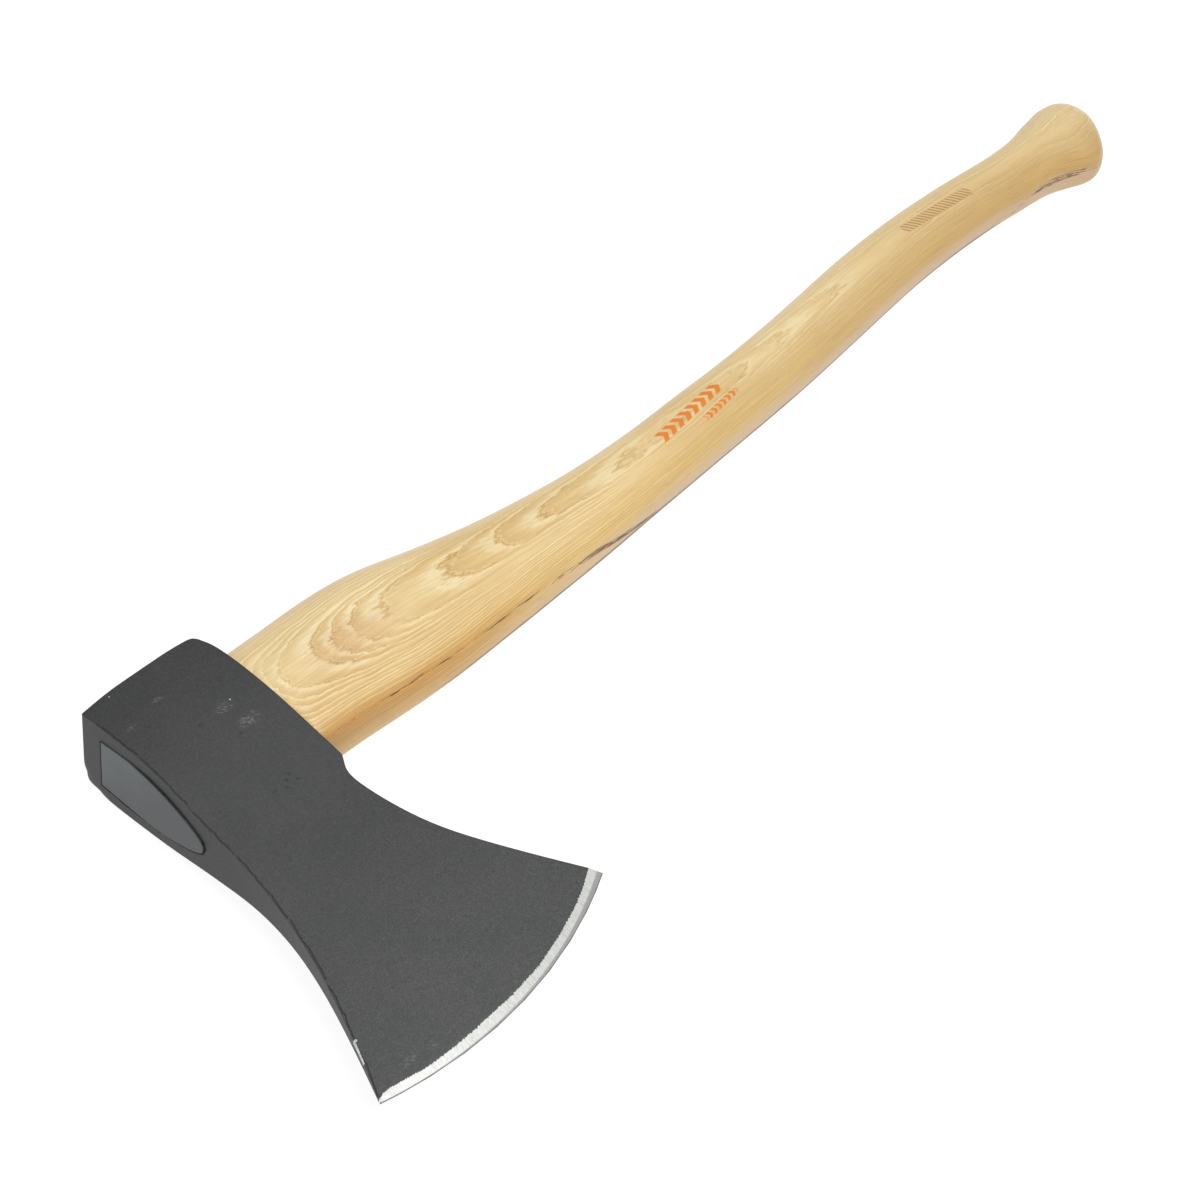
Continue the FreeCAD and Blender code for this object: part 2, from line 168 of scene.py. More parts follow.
@dataclass(frozen=True)
class HeadRow:
    """One row of the head, from the brow side to the beard side."""

    brow: tuple[float, float]
    beard: tuple[float, float]
    bulge: float
    brow_half: float
    middle_half: float
    kind: RowKind = RowKind.CHEEK

    def place(self, share: float) -> tuple[float, float]:
        """Where the row runs at one share of the way from brow to beard.

        Args:
            share: Share of the way, from 0 at the brow to 1 at the beard.

        Returns:
            X and Y, in axe millimetres.
        """
        x = self.brow[0] + (self.beard[0] - self.brow[0]) * share
        y = self.brow[1] + (self.beard[1] - self.brow[1]) * share
        if self.kind is RowKind.CHEEK:
            return x, y - self.bulge * 4 * share * (1 - share)
        edge = CuttingEdge()
        inward = edge.width_at(x) if self.kind is RowKind.BORDER else 0.0
        return x, edge.height_at(x, inward)

    def half(self, share: float) -> float:
        """Half thickness at one share of the way from brow to beard."""
        near_brow = max(0.0, 1 - share / BROW_SHARE) ** BROW_FALL
        return self.middle_half + (self.brow_half - self.middle_half) * near_brow


HEAD_ROWS = (
    HeadRow((-0.6, 32.0), (59.4, 31.0), 0.0, 19.4, 19.2),
    HeadRow((-0.6, 18.0), (59.6, 18.0), 0.0, 19.4, 19.2),
    HeadRow((-0.7, 5.0), (59.6, 5.0), 0.0, 18.9, 18.3),
    HeadRow((-1.4, -9.0), (59.6, -9.0), 0.0, 17.0, 16.3),
    HeadRow((-2.3, -22.0), (59.6, -21.0), 0.0, 13.9, 13.6),
    HeadRow((-2.7, -32.0), (59.7, -31.0), 0.0, 12.1, 11.6),
    HeadRow((-3.0, -40.0), (59.6, -37.6), 0.2, 11.0, 10.2),
    HeadRow((-3.2, -43.5), (57.7, -40.4), 0.3, 10.3, 9.6),
    HeadRow((-3.5, -47.5), (55.9, -43.2), 0.5, 9.6, 9.0),
    HeadRow((-4.0, -53.0), (55.3, -47.8), 0.8, 8.6, 8.3),
    HeadRow((-5.1, -61.0), (56.0, -55.0), 1.2, 7.2, 7.5),
    HeadRow((-6.9, -70.5), (57.5, -64.5), 2.2, 5.9, 6.7),
    HeadRow((-9.3, -80.5), (59.6, -74.5), 3.4, 4.9, 6.1),
    HeadRow((-12.9, -92.0), (63.1, -86.0), 4.9, 4.0, 5.5),
    HeadRow((-17.8, -105.0), (68.7, -98.5), 6.6, 3.2, 4.9),
    HeadRow((-24.0, -119.0), (75.1, -111.0), 8.2, 2.3, 4.2),
    HeadRow((-30.3, -132.5), (82.0, -123.6), 9.4, 1.4, 3.3),
    HeadRow((-37.3, -146.8), (89.2, -136.3), 0.0, 0.45, 2.0, RowKind.BORDER),
    HeadRow((-37.7, -147.7), (92.3, -140.2), 0.0, 0.12, 0.12, RowKind.EDGE),
)


# ------------------------------------------------------------------ the modelling bench


class Bench:
    """Modelling steps on one object, done with Blender's own operators."""

    def __init__(self, name: str, space: AxeSpace) -> None:
        """Remember the name and the measuring frame of the piece.

        Args:
            name: Name of the piece.
            space: The axe's measuring frame.
        """
        self.name = name
        self.space = space
        self.piece: bpy.types.Object | None = None

    def start_box(self, low: Point, high: Point) -> None:
        """Add a box between two corners and open it for editing.

        Args:
            low: Lowest corner, in axe millimetres.
            high: Highest corner, in axe millimetres.
        """
        bpy.ops.object.select_all(action="DESELECT")
        first, last = self.space.at(*low), self.space.at(*high)
        bpy.ops.mesh.primitive_cube_add(size=1, location=(first + last) / 2, scale=last - first)
        self.open_new()

    def start_rod(self, first: float, last: float, radius: float, sides: int) -> None:
        """Add a many sided rod along X and open it for editing.

        Args:
            first: X of one end, in axe millimetres.
            last: X of the other end.
            radius: Its radius.
            sides: How many sides it has.
        """
        bpy.ops.object.select_all(action="DESELECT")
        bpy.ops.mesh.primitive_cylinder_add(
            vertices=sides, radius=radius * MM, depth=(last - first) * MM,
            location=self.space.at((first + last) / 2, 0, 0), rotation=(0, math.pi / 2, 0))
        self.open_new()

    def open_new(self) -> None:
        """Name the primitive just added, settle it at the origin and open it for editing."""
        self.piece = bpy.context.object
        self.piece.name = self.name
        self.piece.data.name = self.name
        bpy.ops.object.transform_apply(location=True, rotation=True, scale=True)
        bpy.ops.object.mode_set(mode="EDIT")
        bpy.ops.mesh.select_mode(type="VERT")

    def mesh(self) -> bmesh.types.BMesh:
        """The mesh as it stands in edit mode."""
        return bmesh.from_edit_mesh(self.piece.data)

    def places(self) -> list[Vector]:
        """Every vertex, in axe millimetres."""
        return [self.space.local(vertex.co) for vertex in self.mesh().verts]

    def select(self, kind: str, test: Test) -> None:
        """Select the vertices or faces whose middle passes a test.

        Args:
            kind: VERT or FACE.
            test: Takes the middle in axe millimetres and says whether to take it.
        """
        bpy.ops.mesh.select_mode(type=kind)
        bpy.ops.mesh.select_all(action="DESELECT")
        mesh = self.mesh()
        for item in mesh.verts if kind == "VERT" else mesh.faces:
            middle = item.co if kind == "VERT" else item.calc_center_median()
            if test(self.space.local(middle)):
                item.select_set(True)
        mesh.select_flush_mode()
        bmesh.update_edit_mesh(self.piece.data)

    def select_edges(self, test: Test) -> None:
        """Select the edges whose two ends both pass a test.

        Args:
            test: Takes an end in axe millimetres and says whether it fits.
        """
        bpy.ops.mesh.select_mode(type="EDGE")
        bpy.ops.mesh.select_all(action="DESELECT")
        for edge in self.mesh().edges:
            if all(test(self.space.local(end.co)) for end in edge.verts):
                edge.select_set(True)
        bmesh.update_edit_mesh(self.piece.data)

    def selected(self) -> list[Vector]:
        """Places of the selected vertices, in axe millimetres."""
        return [self.space.local(vertex.co) for vertex in self.mesh().verts if vertex.select]

    def selected_numbers(self) -> list[int]:
        """Numbers of the selected vertices."""
        return [vertex.index for vertex in self.mesh().verts if vertex.select]

    def pick(self, numbers: list[int], test: Test) -> Vector:
        """Select those of some vertices that pass a test.

        Args:
            numbers: Numbers of the vertices to choose from.
            test: Takes a vertex's place in axe millimetres.

        Returns:
            The place of the last vertex taken.
        """
        bpy.ops.mesh.select_mode(type="VERT")
        bpy.ops.mesh.select_all(action="DESELECT")
        mesh = self.mesh()
        mesh.verts.ensure_lookup_table()
        last = Vector()
        for number in numbers:
            place = self.space.local(mesh.verts[number].co)
            if test(place):
                mesh.verts[number].select_set(True)
                last = place
        mesh.select_flush(True)
        bmesh.update_edit_mesh(self.piece.data)
        return last

    def upper_places(self) -> dict[tuple[float, float], float]:
        """Greatest height over each place, seen from above.

        Returns:
            Height by rounded X and Y.
        """
        upper: dict[tuple[float, float], float] = {}
        for place in self.places():
            key = (round(place.x, 2), round(place.y, 2))
            upper[key] = max(upper.get(key, place.z), place.z)
        return upper

    def cut(self, place: Point, normal: Point) -> None:
        """Cut the whole piece along a plane, keeping both halves."""
        bpy.ops.mesh.select_all(action="SELECT")
        bpy.ops.mesh.bisect(plane_co=self.space.at(*place), plane_no=normal)

    def extrude(self, along: Point) -> None:
        """Extrude the selected faces by a vector in millimetres."""
        step = Vector(along) * MM
        bpy.ops.mesh.extrude_region_move(TRANSFORM_OT_translate={"value": step})

    def move(self, along: Point) -> None:
        """Move the selection by a vector in millimetres."""
        bpy.ops.transform.translate(value=Vector(along) * MM)

    def stretch(self, factors: Point, centre: Point) -> None:
        """Scale the selection about a point in axe millimetres."""
        bpy.ops.transform.resize(value=factors, center_override=self.space.at(*centre))

    def crease(self, amount: Crease) -> None:
        """Set how sharp the selected edges stay."""
        bpy.ops.transform.edge_crease(value=float(amount))

    def finish(self, levels: int, angle: float = 40.0) -> bpy.types.Object:
        """Close editing, smooth the surface and shade it.

        Args:
            levels: Steps of subdivision that are applied.
            angle: Largest angle in degrees that is still shaded smooth.

        Returns:
            The finished object.
        """
        bpy.ops.mesh.select_all(action="SELECT")
        bpy.ops.mesh.normals_make_consistent(inside=False)
        bpy.ops.object.mode_set(mode="OBJECT")
        if levels:
            modifier = self.piece.modifiers.new("smooth", "SUBSURF")
            modifier.levels = levels
            modifier.render_levels = levels
            bpy.ops.object.modifier_apply(modifier=modifier.name)
        bpy.ops.object.shade_smooth_by_angle(angle=math.radians(angle))
        return self.piece

    def subtract(self, cutter: bpy.types.Object) -> None:
        """Cut another object out of the piece and remove it.

        Args:
            cutter: The object to cut out.
        """
        bpy.ops.object.select_all(action="DESELECT")
        bpy.context.view_layer.objects.active = self.piece
        self.piece.select_set(True)
        modifier = self.piece.modifiers.new("cut", "BOOLEAN")
        modifier.operation = "DIFFERENCE"
        modifier.solver = "EXACT"
        modifier.object = cutter
        bpy.ops.object.modifier_apply(modifier=modifier.name)
        bpy.data.objects.remove(cutter)


# ------------------------------------------------------------------ the finish bench


class Paintbox:
    """Builds the node tree of one finish."""

    def __init__(self, name: str, space: AxeSpace) -> None:
        """Start an empty material with a shader and a position in millimetres.

        Args:
            name: Name of the material.
            space: The axe's measuring frame.
        """
        self.material = bpy.data.materials.new(name)
        self.material.use_nodes = True
        self.tree = self.material.node_tree
        self.shader = self.tree.nodes["Principled BSDF"]
        place = self.tree.nodes.new("ShaderNodeTexCoord").outputs["Object"]
        mapping = self.tree.nodes.new("ShaderNodeMapping")
        mapping.inputs["Scale"].default_value = (1 / MM, 1 / MM, 1 / MM)
        mapping.inputs["Location"].default_value = -space.origin / MM
        self.tree.links.new(place, mapping.inputs["Vector"])
        self.place = mapping.outputs["Vector"]
        self.x, self.y, self.z = self.node("ShaderNodeSeparateXYZ", self.place).outputs

    def node(self, kind: str, *values: Sockets) -> bpy.types.Node:
        """Add a node and feed its inputs in order.

        Args:
            kind: Blender's node type name.
            values: Sockets to link, or plain values to set; None skips one.

        Returns:
            The new node.
        """
        made = self.tree.nodes.new(kind)
        for number, value in enumerate(values):
            self.feed(made.inputs[number], value)
        return made

    def feed(self, socket: bpy.types.NodeSocket, value: Sockets) -> None:
        """Link or set one input.

        Args:
            socket: The input.
            value: Socket or plain value; None leaves it.
        """
        if value is None:
            return
        if isinstance(value, bpy.types.NodeSocket):
            self.tree.links.new(value, socket)
        else:
            socket.default_value = value

    def math(self, operation: str, first: Sockets, second: Sockets = None,
             third: Sockets = None) -> Socket:
        """One arithmetic step.

        Args:
            operation: Blender's name of the step.
            first: First number.
            second: Second number, where there is one.
            third: Third number, where there is one.

        Returns:
            The result.
        """
        made = self.node("ShaderNodeMath", first, second, third)
        made.operation = operation
        return made.outputs[0]

    def product(self, first: Sockets, *others: Sockets) -> Socket:
        """Multiply numbers with each other, from the left.

        Args:
            first: First number.
            others: The rest.

        Returns:
            The product.
        """
        for other in others:
            first = self.math("MULTIPLY", first, other)
        return first

    def largest(self, first: Sockets, *others: Sockets) -> Socket:
        """The largest of some numbers.

        Args:
            first: First number.
            others: The rest.

        Returns:
            The largest.
        """
        for other in others:
            first = self.math("MAXIMUM", first, other)
        return first

    def vector(self, operation: str, first: Sockets, second: Point | None = None) -> Socket:
        """One arithmetic step on a vector; a length comes out as a number.

        Args:
            operation: Blender's name of the step.
            first: First vector.
            second: Second vector, where there is one.

        Returns:
            The result.
        """
        made = self.tree.nodes.new("ShaderNodeVectorMath")
        made.operation = operation
        self.feed(made.inputs[0], first)
        self.feed(made.inputs[1], second)
        return made.outputs["Value" if operation == "LENGTH" else "Vector"]

    def combine(self, x: Sockets, y: Sockets = 0.0, z: Sockets = 0.0) -> Socket:
        """Put up to three numbers together as a vector."""
        return self.node("ShaderNodeCombineXYZ", x, y, z).outputs[0]

    def noise(self, where: Sockets, scale: float, detail: float = 2.0,
              rough: float = 0.5) -> Socket:
        """A cloudy value from 0 to 1.

        Args:
            where: Position to read the noise at.
            scale: Clouds per unit of the position.
            detail: Octaves.
            rough: Strength of the finer octaves.

        Returns:
            The noise value.
        """
        made = self.tree.nodes.new("ShaderNodeTexNoise")
        self.feed(made.inputs["Vector"], where)
        made.inputs["Scale"].default_value = scale
        made.inputs["Detail"].default_value = detail
        made.inputs["Roughness"].default_value = rough
        return made.outputs["Fac"]

    def stretched(self, along: float, across: float, through: float) -> Socket:
        """Position scaled differently along X, Y and Z."""
        return self.vector("MULTIPLY", self.place, (along, across, through))

    def step(self, value: Sockets, low: float, high: float) -> Socket:
        """Rise smoothly from 0 at low to 1 at high; falls if low is above high.

        Args:
            value: The number to look at.
            low: Where the result is 0.
            high: Where the result is 1.

        Returns:
            A number from 0 to 1.
        """
        made = self.tree.nodes.new("ShaderNodeMapRange")
        made.interpolation_type = "SMOOTHSTEP"
        self.feed(made.inputs["Value"], value)
        flip = low > high
        made.inputs["From Min"].default_value = min(low, high)
        made.inputs["From Max"].default_value = max(low, high)
        made.inputs["To Min"].default_value = 1.0 if flip else 0.0
        made.inputs["To Max"].default_value = 0.0 if flip else 1.0
        return made.outputs["Result"]

    def curve(self, value: Sockets, points: Curve) -> Socket:
        """Follow a curve drawn through given points.

        Args:
            value: The number to look up.
            points: Pairs of value and height, from the least value to the greatest.

        Returns:
            The height of the curve at the value.
        """
        heights = [height for _, height in points]
        low, high = min(heights), max(heights)
        start, reach = points[0][0], points[-1][0] - points[0][0]
        share = self.math("DIVIDE", self.math("SUBTRACT", value, start), reach)
        made = self.tree.nodes.new("ShaderNodeFloatCurve")
        self.feed(made.inputs["Value"], share)
        line = made.mapping.curves[0]
        while len(line.points) < len(points):
            line.points.new(0.5, 0.5)
        for point, (place, height) in zip(line.points, points):
            point.location = ((place - start) / reach, (height - low) / (high - low))
        made.mapping.update()
        return self.math("MULTIPLY_ADD", made.outputs[0], high - low, low)

    def ramp(self, value: Sockets, stops: tuple[tuple[float, Colour], ...]) -> Socket:
        """Turn a value into a colour through a list of stops.

        Args:
            value: The number to look up.
            stops: Pairs of value and colour.

        Returns:
            The colour.
        """
        made = self.node("ShaderNodeValToRGB", value)
        elements = made.color_ramp.elements
        while len(elements) < len(stops):
            elements.new(0.5)
        for element, (place, colour) in zip(elements, stops):
            element.position = place
            element.color = (*colour, 1.0)
        return made.outputs[0]

    def blend(self, share: Sockets, first: Sockets, second: Sockets,
              mode: str = "MIX") -> Socket:
        """Mix two colours.

        Args:
            share: Share of the second colour.
            first: First colour.
            second: Second colour.
            mode: Blender's name of the way to mix.

        Returns:
            The mixed colour.
        """
        made = self.tree.nodes.new("ShaderNodeMix")
        made.data_type = "RGBA"
        made.blend_type = mode
        self.feed(made.inputs[0], share)
        for socket, value in ((made.inputs[6], first), (made.inputs[7], second)):
            self.feed(socket, (*value, 1.0) if isinstance(value, tuple) else value)
        return made.outputs[2]

    def tint(self, colour: Sockets, factors: Colour | Socket, share: Sockets = 1.0) -> Socket:
        """Multiply a colour by factors, in part or in full."""
        return self.blend(share, colour, factors, "MULTIPLY")

    def spot(self, centre: Point, radii: Point) -> Socket:
        """A soft mask around one place.

        Args:
            centre: Middle of the spot, in axe millimetres.
            radii: Its reach along X, Y and Z.

        Returns:
            1 in the middle, falling to 0 at the reach.
        """
        away = self.vector("DIVIDE", self.vector("SUBTRACT", self.place, centre), radii)
        return self.step(self.vector("LENGTH", away), 1.0, 0.3)

    def spots(self, places: Iterable[tuple[Point, Point]]) -> Socket:
        """One mask of several spots, each with its middle and its reach."""
        return self.largest(*(self.spot(centre, radii) for centre, radii in places))

    def streak(self, pace: float, *curves: Curve) -> Socket:
        """A broken dark line that runs down the haft.

        Args:
            pace: How quickly the breaks follow each other.
            curves: Its height, half width and share of breaks, each against X.

        Returns:
            1 on the line and 0 beside it.
        """
        level, width, breaks = (self.curve(self.x, points) for points in curves)
        wander = self.noise(self.combine(self.x), 0.05, 3.0)
        middle = self.math("MULTIPLY_ADD", wander, 1.6, self.math("SUBTRACT", level, 0.8))
        near = self.math("DIVIDE", self.math("ABSOLUTE", self.math("SUBTRACT", self.z, middle)), width)
        dashes = self.noise(self.stretched(pace, 1.1, 1.4), 1.0, 4.0, 0.75)
        solid = self.step(self.math("SUBTRACT", dashes, breaks), 0.0, 0.07)
        return self.product(self.step(near, 1.0, 0.3), solid)

    def bump(self, height: Sockets, strength: float, distance: float,
             under: Sockets = None) -> Socket:
        """Raise the surface by a height.

        Args:
            height: The height value.
            strength: Share of the effect.
            distance: Height of one unit, in millimetres.
            under: Another bump to build on.

        Returns:
            The bent normal.
        """
        made = self.tree.nodes.new("ShaderNodeBump")
        made.inputs["Strength"].default_value = strength
        made.inputs["Distance"].default_value = distance * MM
        self.feed(made.inputs["Height"], height)
        self.feed(made.inputs["Normal"], under)
        return made.outputs[0]

    def set(self, name: str, value: Sockets) -> None:
        """Feed one of the shader's own inputs.

        Args:
            name: Name of the input.
            value: Socket, number or colour.
        """
        if isinstance(value, tuple):
            value = (*value, 1.0)
        self.feed(self.shader.inputs[name], value)


def shades(colour: Colour, share: float) -> Colour:
    """A colour made darker or lighter by one share."""
    return tuple(share * part for part in colour)


@dataclass(frozen=True)
class Finish:
    """One procedural finish."""

    name: str = "finish"

    def build(self, space: AxeSpace) -> bpy.types.Material:
        """Make the material.

        Args:
            space: The axe's measuring frame.

        Returns:
            The finished material.
        """
        box = Paintbox(self.name, space)
        self.lay_on(box)
        return box.material

    def lay_on(self, box: Paintbox) -> None:
        """Build the nodes of the finish."""
        raise NotImplementedError


@dataclass(frozen=True)
class ForgedPaint(Finish):
    """Matte dark paint over a forged head, with bare steel at the ground edge."""

    name: str = "forged_paint"
    paint: Colour = (0.0385, 0.0405, 0.0395)
    speck_dark: float = 0.58
    speck_light: float = 1.72
    # Painted shade towards the poll and painted sheen towards the edge, as factors on the paint colour.
    poll_painted_shade: Colour = (0.625, 0.635, 0.615)
    edge_painted_sheen: Colour = (1.15, 1.16, 1.12)
    # Painted shade on the brow face, against Y.
    brow_painted_shade: Curve = (
        (-145.0, 0.80), (-85.0, 0.76), (-60.0, 0.67), (-30.0, 0.70), (0.0, 0.86), (38.0, 0.78))
    # Near black painted shade, put into the pits and along the trimmed flash line.
    painted_hollow_shade: Colour = (0.006, 0.006, 0.007)
    worn: Colour = (0.16, 0.165, 0.165)
    steel: Colour = (0.63, 0.64, 0.61)
    honed: Colour = (0.33, 0.335, 0.32)
    honed_widths: Curve = (
        (-38.5, 0.30), (-20.0, 0.50), (10.0, 0.90), (40.0, 1.25), (70.0, 1.80), (96.0, 2.6))
    edge_line: Colour = (0.10, 0.10, 0.095)
    steel_metal: float = 0.25
    steel_smoother: float = 0.12
    edge: CuttingEdge = CuttingEdge()

    def lay_on(self, box: Paintbox) -> None:
        """Lay the paint on, then its marks, then the bare steel.

        Args:
            box: The bench that the finish is built on.
        """
        grain = box.noise(box.place, 1.5, 4.0, 0.7)
        coarse = box.noise(box.place, 0.45, 3.0, 0.6)
        bare, flash, pits = self.bare_mask(box), self.flash_mask(box), self.pit_mask(box)
        colour = box.blend(self.scuff_mask(box), self.mottled(box, grain, coarse), self.worn)
        # Painted shade in the pits and along the flash line.
        for mark in (flash, pits):
            colour = box.blend(mark, colour, self.painted_hollow_shade)
        shown = box.largest(bare, self.chip_mask(box))
        box.set("Base Color", box.blend(shown, colour, self.steel_colour(box)))
        box.set("Metallic", box.product(shown, self.steel_metal))
        rough = box.math("MULTIPLY_ADD", grain, 0.16, 0.44)
        box.set("Roughness", box.math("SUBTRACT", rough, box.product(shown, self.steel_smoother)))
        height = box.bump(grain, 0.45, 0.16)
        height = box.bump(coarse, 0.35, 0.30, height)
        height = box.bump(box.product(self.grinding(box), bare), 0.3, 0.05, height)
        marks = box.product(box.math("ADD", pits, flash), -1.0)
        box.set("Normal", box.bump(marks, 0.6, 0.25, height))

    def mottled(self, box: Paintbox, grain: Socket, coarse: Socket) -> Socket:
        """Speckled paint, with painted shade by the poll and on the brow face, and painted sheen
        towards the edge.

        Args:
            box: The bench that the finish is built on.
            grain: Fine noise.
            coarse: Coarser noise.

        Returns:
            The colour.
        """
        paint = box.ramp(grain, (
            (0.34, shades(self.paint, self.speck_dark)), (0.50, self.paint),
            (0.66, shades(self.paint, self.speck_light))))
        paint = box.tint(paint, (0.84, 0.84, 0.86), box.step(coarse, 0.40, 0.68))
        cloud = box.noise(box.place, 0.04, 3.0, 0.5)
        paint = box.tint(paint, (0.88, 0.90, 0.90), box.step(cloud, 0.35, 0.7))
        # Painted shade and sheen: the paint is darkened by the poll and lightened towards the edge.
        paint = box.blend(box.step(box.y, -10.0, -140.0), box.tint(paint, self.poll_painted_shade),
                          box.tint(paint, self.edge_painted_sheen))
        # Painted shade: the brow face is darkened along this curve.
        shade = box.curve(box.y, self.brow_painted_shade)
        on_brow = box.step(self.from_brow(box), 0.9, 0.4)
        return box.blend(on_brow, paint, box.tint(paint, box.combine(shade, shade, shade)))

    def from_edge(self, box: Paintbox) -> Socket:
        """Distance in from the cutting edge, in millimetres.

        Args:
            box: The bench that the finish is built on.

        Returns:
            The distance.
        """
        across = box.math("SUBTRACT", box.x, self.edge.centre[0])
        down = box.math("SUBTRACT", box.y, self.edge.centre[1])
        square = box.math("MULTIPLY_ADD", across, across, box.product(down, down))
        return box.math("SUBTRACT", self.edge.radius, box.math("SQRT", square))

    def along_edge(self, box: Paintbox) -> Socket:
        """Distance along the cutting edge, in millimetres.

        Args:
            box: The bench that the finish is built on.

        Returns:
            The distance.
        """
        across = box.math("SUBTRACT", box.x, self.edge.centre[0])
        down = box.math("SUBTRACT", self.edge.centre[1], box.y)
        return box.product(box.math("ARCTAN2", across, down), self.edge.radius)

    def bare_mask(self, box: Paintbox) -> Socket:
        """Ground strip along the edge, with a ragged border against the paint.

        Args:
            box: The bench that the finish is built on.

        Returns:
            1 on the mark and 0 off it.
        """
        along = self.along_edge(box)
        teeth = box.noise(box.combine(along), 1.15, 2.0, 0.75)
        wander = box.noise(box.combine(along, 40.0), 0.10, 2.0)
        ragged = box.math("MULTIPLY_ADD", teeth, 2.3, box.product(wander, 0.9))
        width = box.curve(box.x, self.edge.widths)
        border = box.math("ADD", width, box.math("SUBTRACT", ragged, 1.6))
        inside = box.math("SUBTRACT", border, self.from_edge(box))
        return box.step(inside, -0.08, 0.10)

    def grinding(self, box: Paintbox) -> Socket:
        """Fine lines that run square to the edge."""
        inward = box.product(self.from_edge(box), 0.06)
        return box.noise(box.combine(self.along_edge(box), inward), 3.2, 3.0, 0.7)

    def steel_colour(self, box: Paintbox) -> Socket:
        """Bare steel, with the darker honed strip that widens towards the heel.

        Args:
            box: The bench that the finish is built on.

        Returns:
            The colour.
        """
        streaks = box.ramp(self.grinding(box), ((0.34, shades(self.steel, 0.74)), (0.52, self.steel)))
        inward = self.from_edge(box)
        share = box.math("DIVIDE", inward, box.curve(box.x, self.honed_widths))
        colour = box.blend(box.step(share, 1.15, 0.75), streaks, self.honed)
        return box.blend(box.step(inward, 0.50, 0.20), colour, self.edge_line)

    def from_brow(self, box: Paintbox) -> Socket:
        """Distance in from the brow, in millimetres."""
        points = [(y, x) for x, y in (row.place(0.0) for row in reversed(HEAD_ROWS))]
        return box.math("SUBTRACT", box.x, box.curve(box.y, points))

    def flash_mask(self, box: Paintbox) -> Socket:
        """Thin broken line of painted shade, along the line left by the trimmed forging flash.

        Args:
            box: The bench that the finish is built on.

        Returns:
            1 on the mark and 0 off it.
        """
        inward = self.from_brow(box)
        wander = box.noise(box.combine(box.y), 0.15, 4.0, 0.65)
        middle = box.math("MULTIPLY_ADD", wander, 3.4, -0.9)
        away = box.math("ABSOLUTE", box.math("SUBTRACT", inward, middle))
        line = box.step(away, 0.40, 0.14)
        broken = box.step(box.noise(box.combine(box.y, 9.0), 0.13, 3.0, 0.7), 0.36, 0.46)
        return box.product(
            line, broken, box.step(inward, 0.15, 0.4), box.step(box.y, 34.0, 28.0))

    def scuff_mask(self, box: Paintbox) -> Socket:
        """Small light rubs on the cheek and near the toe.

        Args:
            box: The bench that the finish is built on.

        Returns:
            1 on the mark and 0 off it.
        """
        turned = box.tree.nodes.new("ShaderNodeVectorRotate")
        turned.rotation_type = "Z_AXIS"
        turned.inputs["Angle"].default_value = 0.75
        box.feed(turned.inputs["Vector"], box.place)
        squeezed = box.vector("MULTIPLY", turned.outputs[0], (0.45, 1.7, 0.5))
        fine = box.step(box.noise(squeezed, 1.0, 4.0, 0.75), 0.50, 0.64)
        rubs = box.spots((
            ((39.9, 5.0, 18.0), (6, 3, 7)), ((43.3, -4.8, 17.0), (7, 4, 7)),
            ((25.0, 25.0, 18.9), (4, 1.5, 4)), ((8.0, 21.0, 18.9), (4, 1.2, 4)),
            ((-18.9, -143.6, 3.0), (6, 2.5, 6)), ((-9.0, -145.6, 3.0), (4, 2.2, 6))))
        return box.product(fine, rubs, 0.9)

    def chip_mask(self, box: Paintbox) -> Socket:
        """Paint chipped to bright steel along the brow above the toe, and two flecks.

        Args:
            box: The bench that the finish is built on.

        Returns:
            1 on the mark and 0 off it.
        """
        ragged = box.noise(box.place, 0.9, 3.0, 0.7)
        rim = box.product(
            box.step(self.from_brow(box), 0.9, 0.3), box.step(box.z, 0.5, 1.0),
            box.step(box.y, -134.4, -133.2), box.step(box.y, -124.2, -125.4))
        flecks = box.spots((
            ((-26.3, -125.3, 2.2), (1.5, 0.9, 4.0)), ((44.1, 6.6, 18.2), (0.5, 0.5, 1.5)),
            ((12.6, 38.4, 19.2), (0.5, 0.5, 1.5))))
        chips = box.math("ADD", box.largest(rim, flecks), ragged)
        return box.product(box.step(chips, 1.10, 1.26), 0.85)

    def pit_mask(self, box: Paintbox) -> Socket:
        """A few small pits in the forging, darkened with painted shade.

        Args:
            box: The bench that the finish is built on.

        Returns:
            1 on the mark and 0 off it.
        """
        pits = box.spots((centre, (radius, radius, 6.0)) for centre, radius in (
            ((27.6, 5.0, 18.0), 1.4), ((36.2, -7.1, 16.5), 1.1), ((35.0, -32.0, 11.0), 1.3),
            ((37.5, -31.0, 11.0), 1.1), ((28.0, -33.0, 11.0), 1.1), ((33.0, -34.5, 11.0), 0.9),
            ((12.8, 17.3, 18.9), 0.8), ((39.0, -34.5, 11.0), 0.9)))
        return box.product(pits, box.step(box.noise(box.place, 1.3, 2.0), 0.42, 0.55), 0.85)


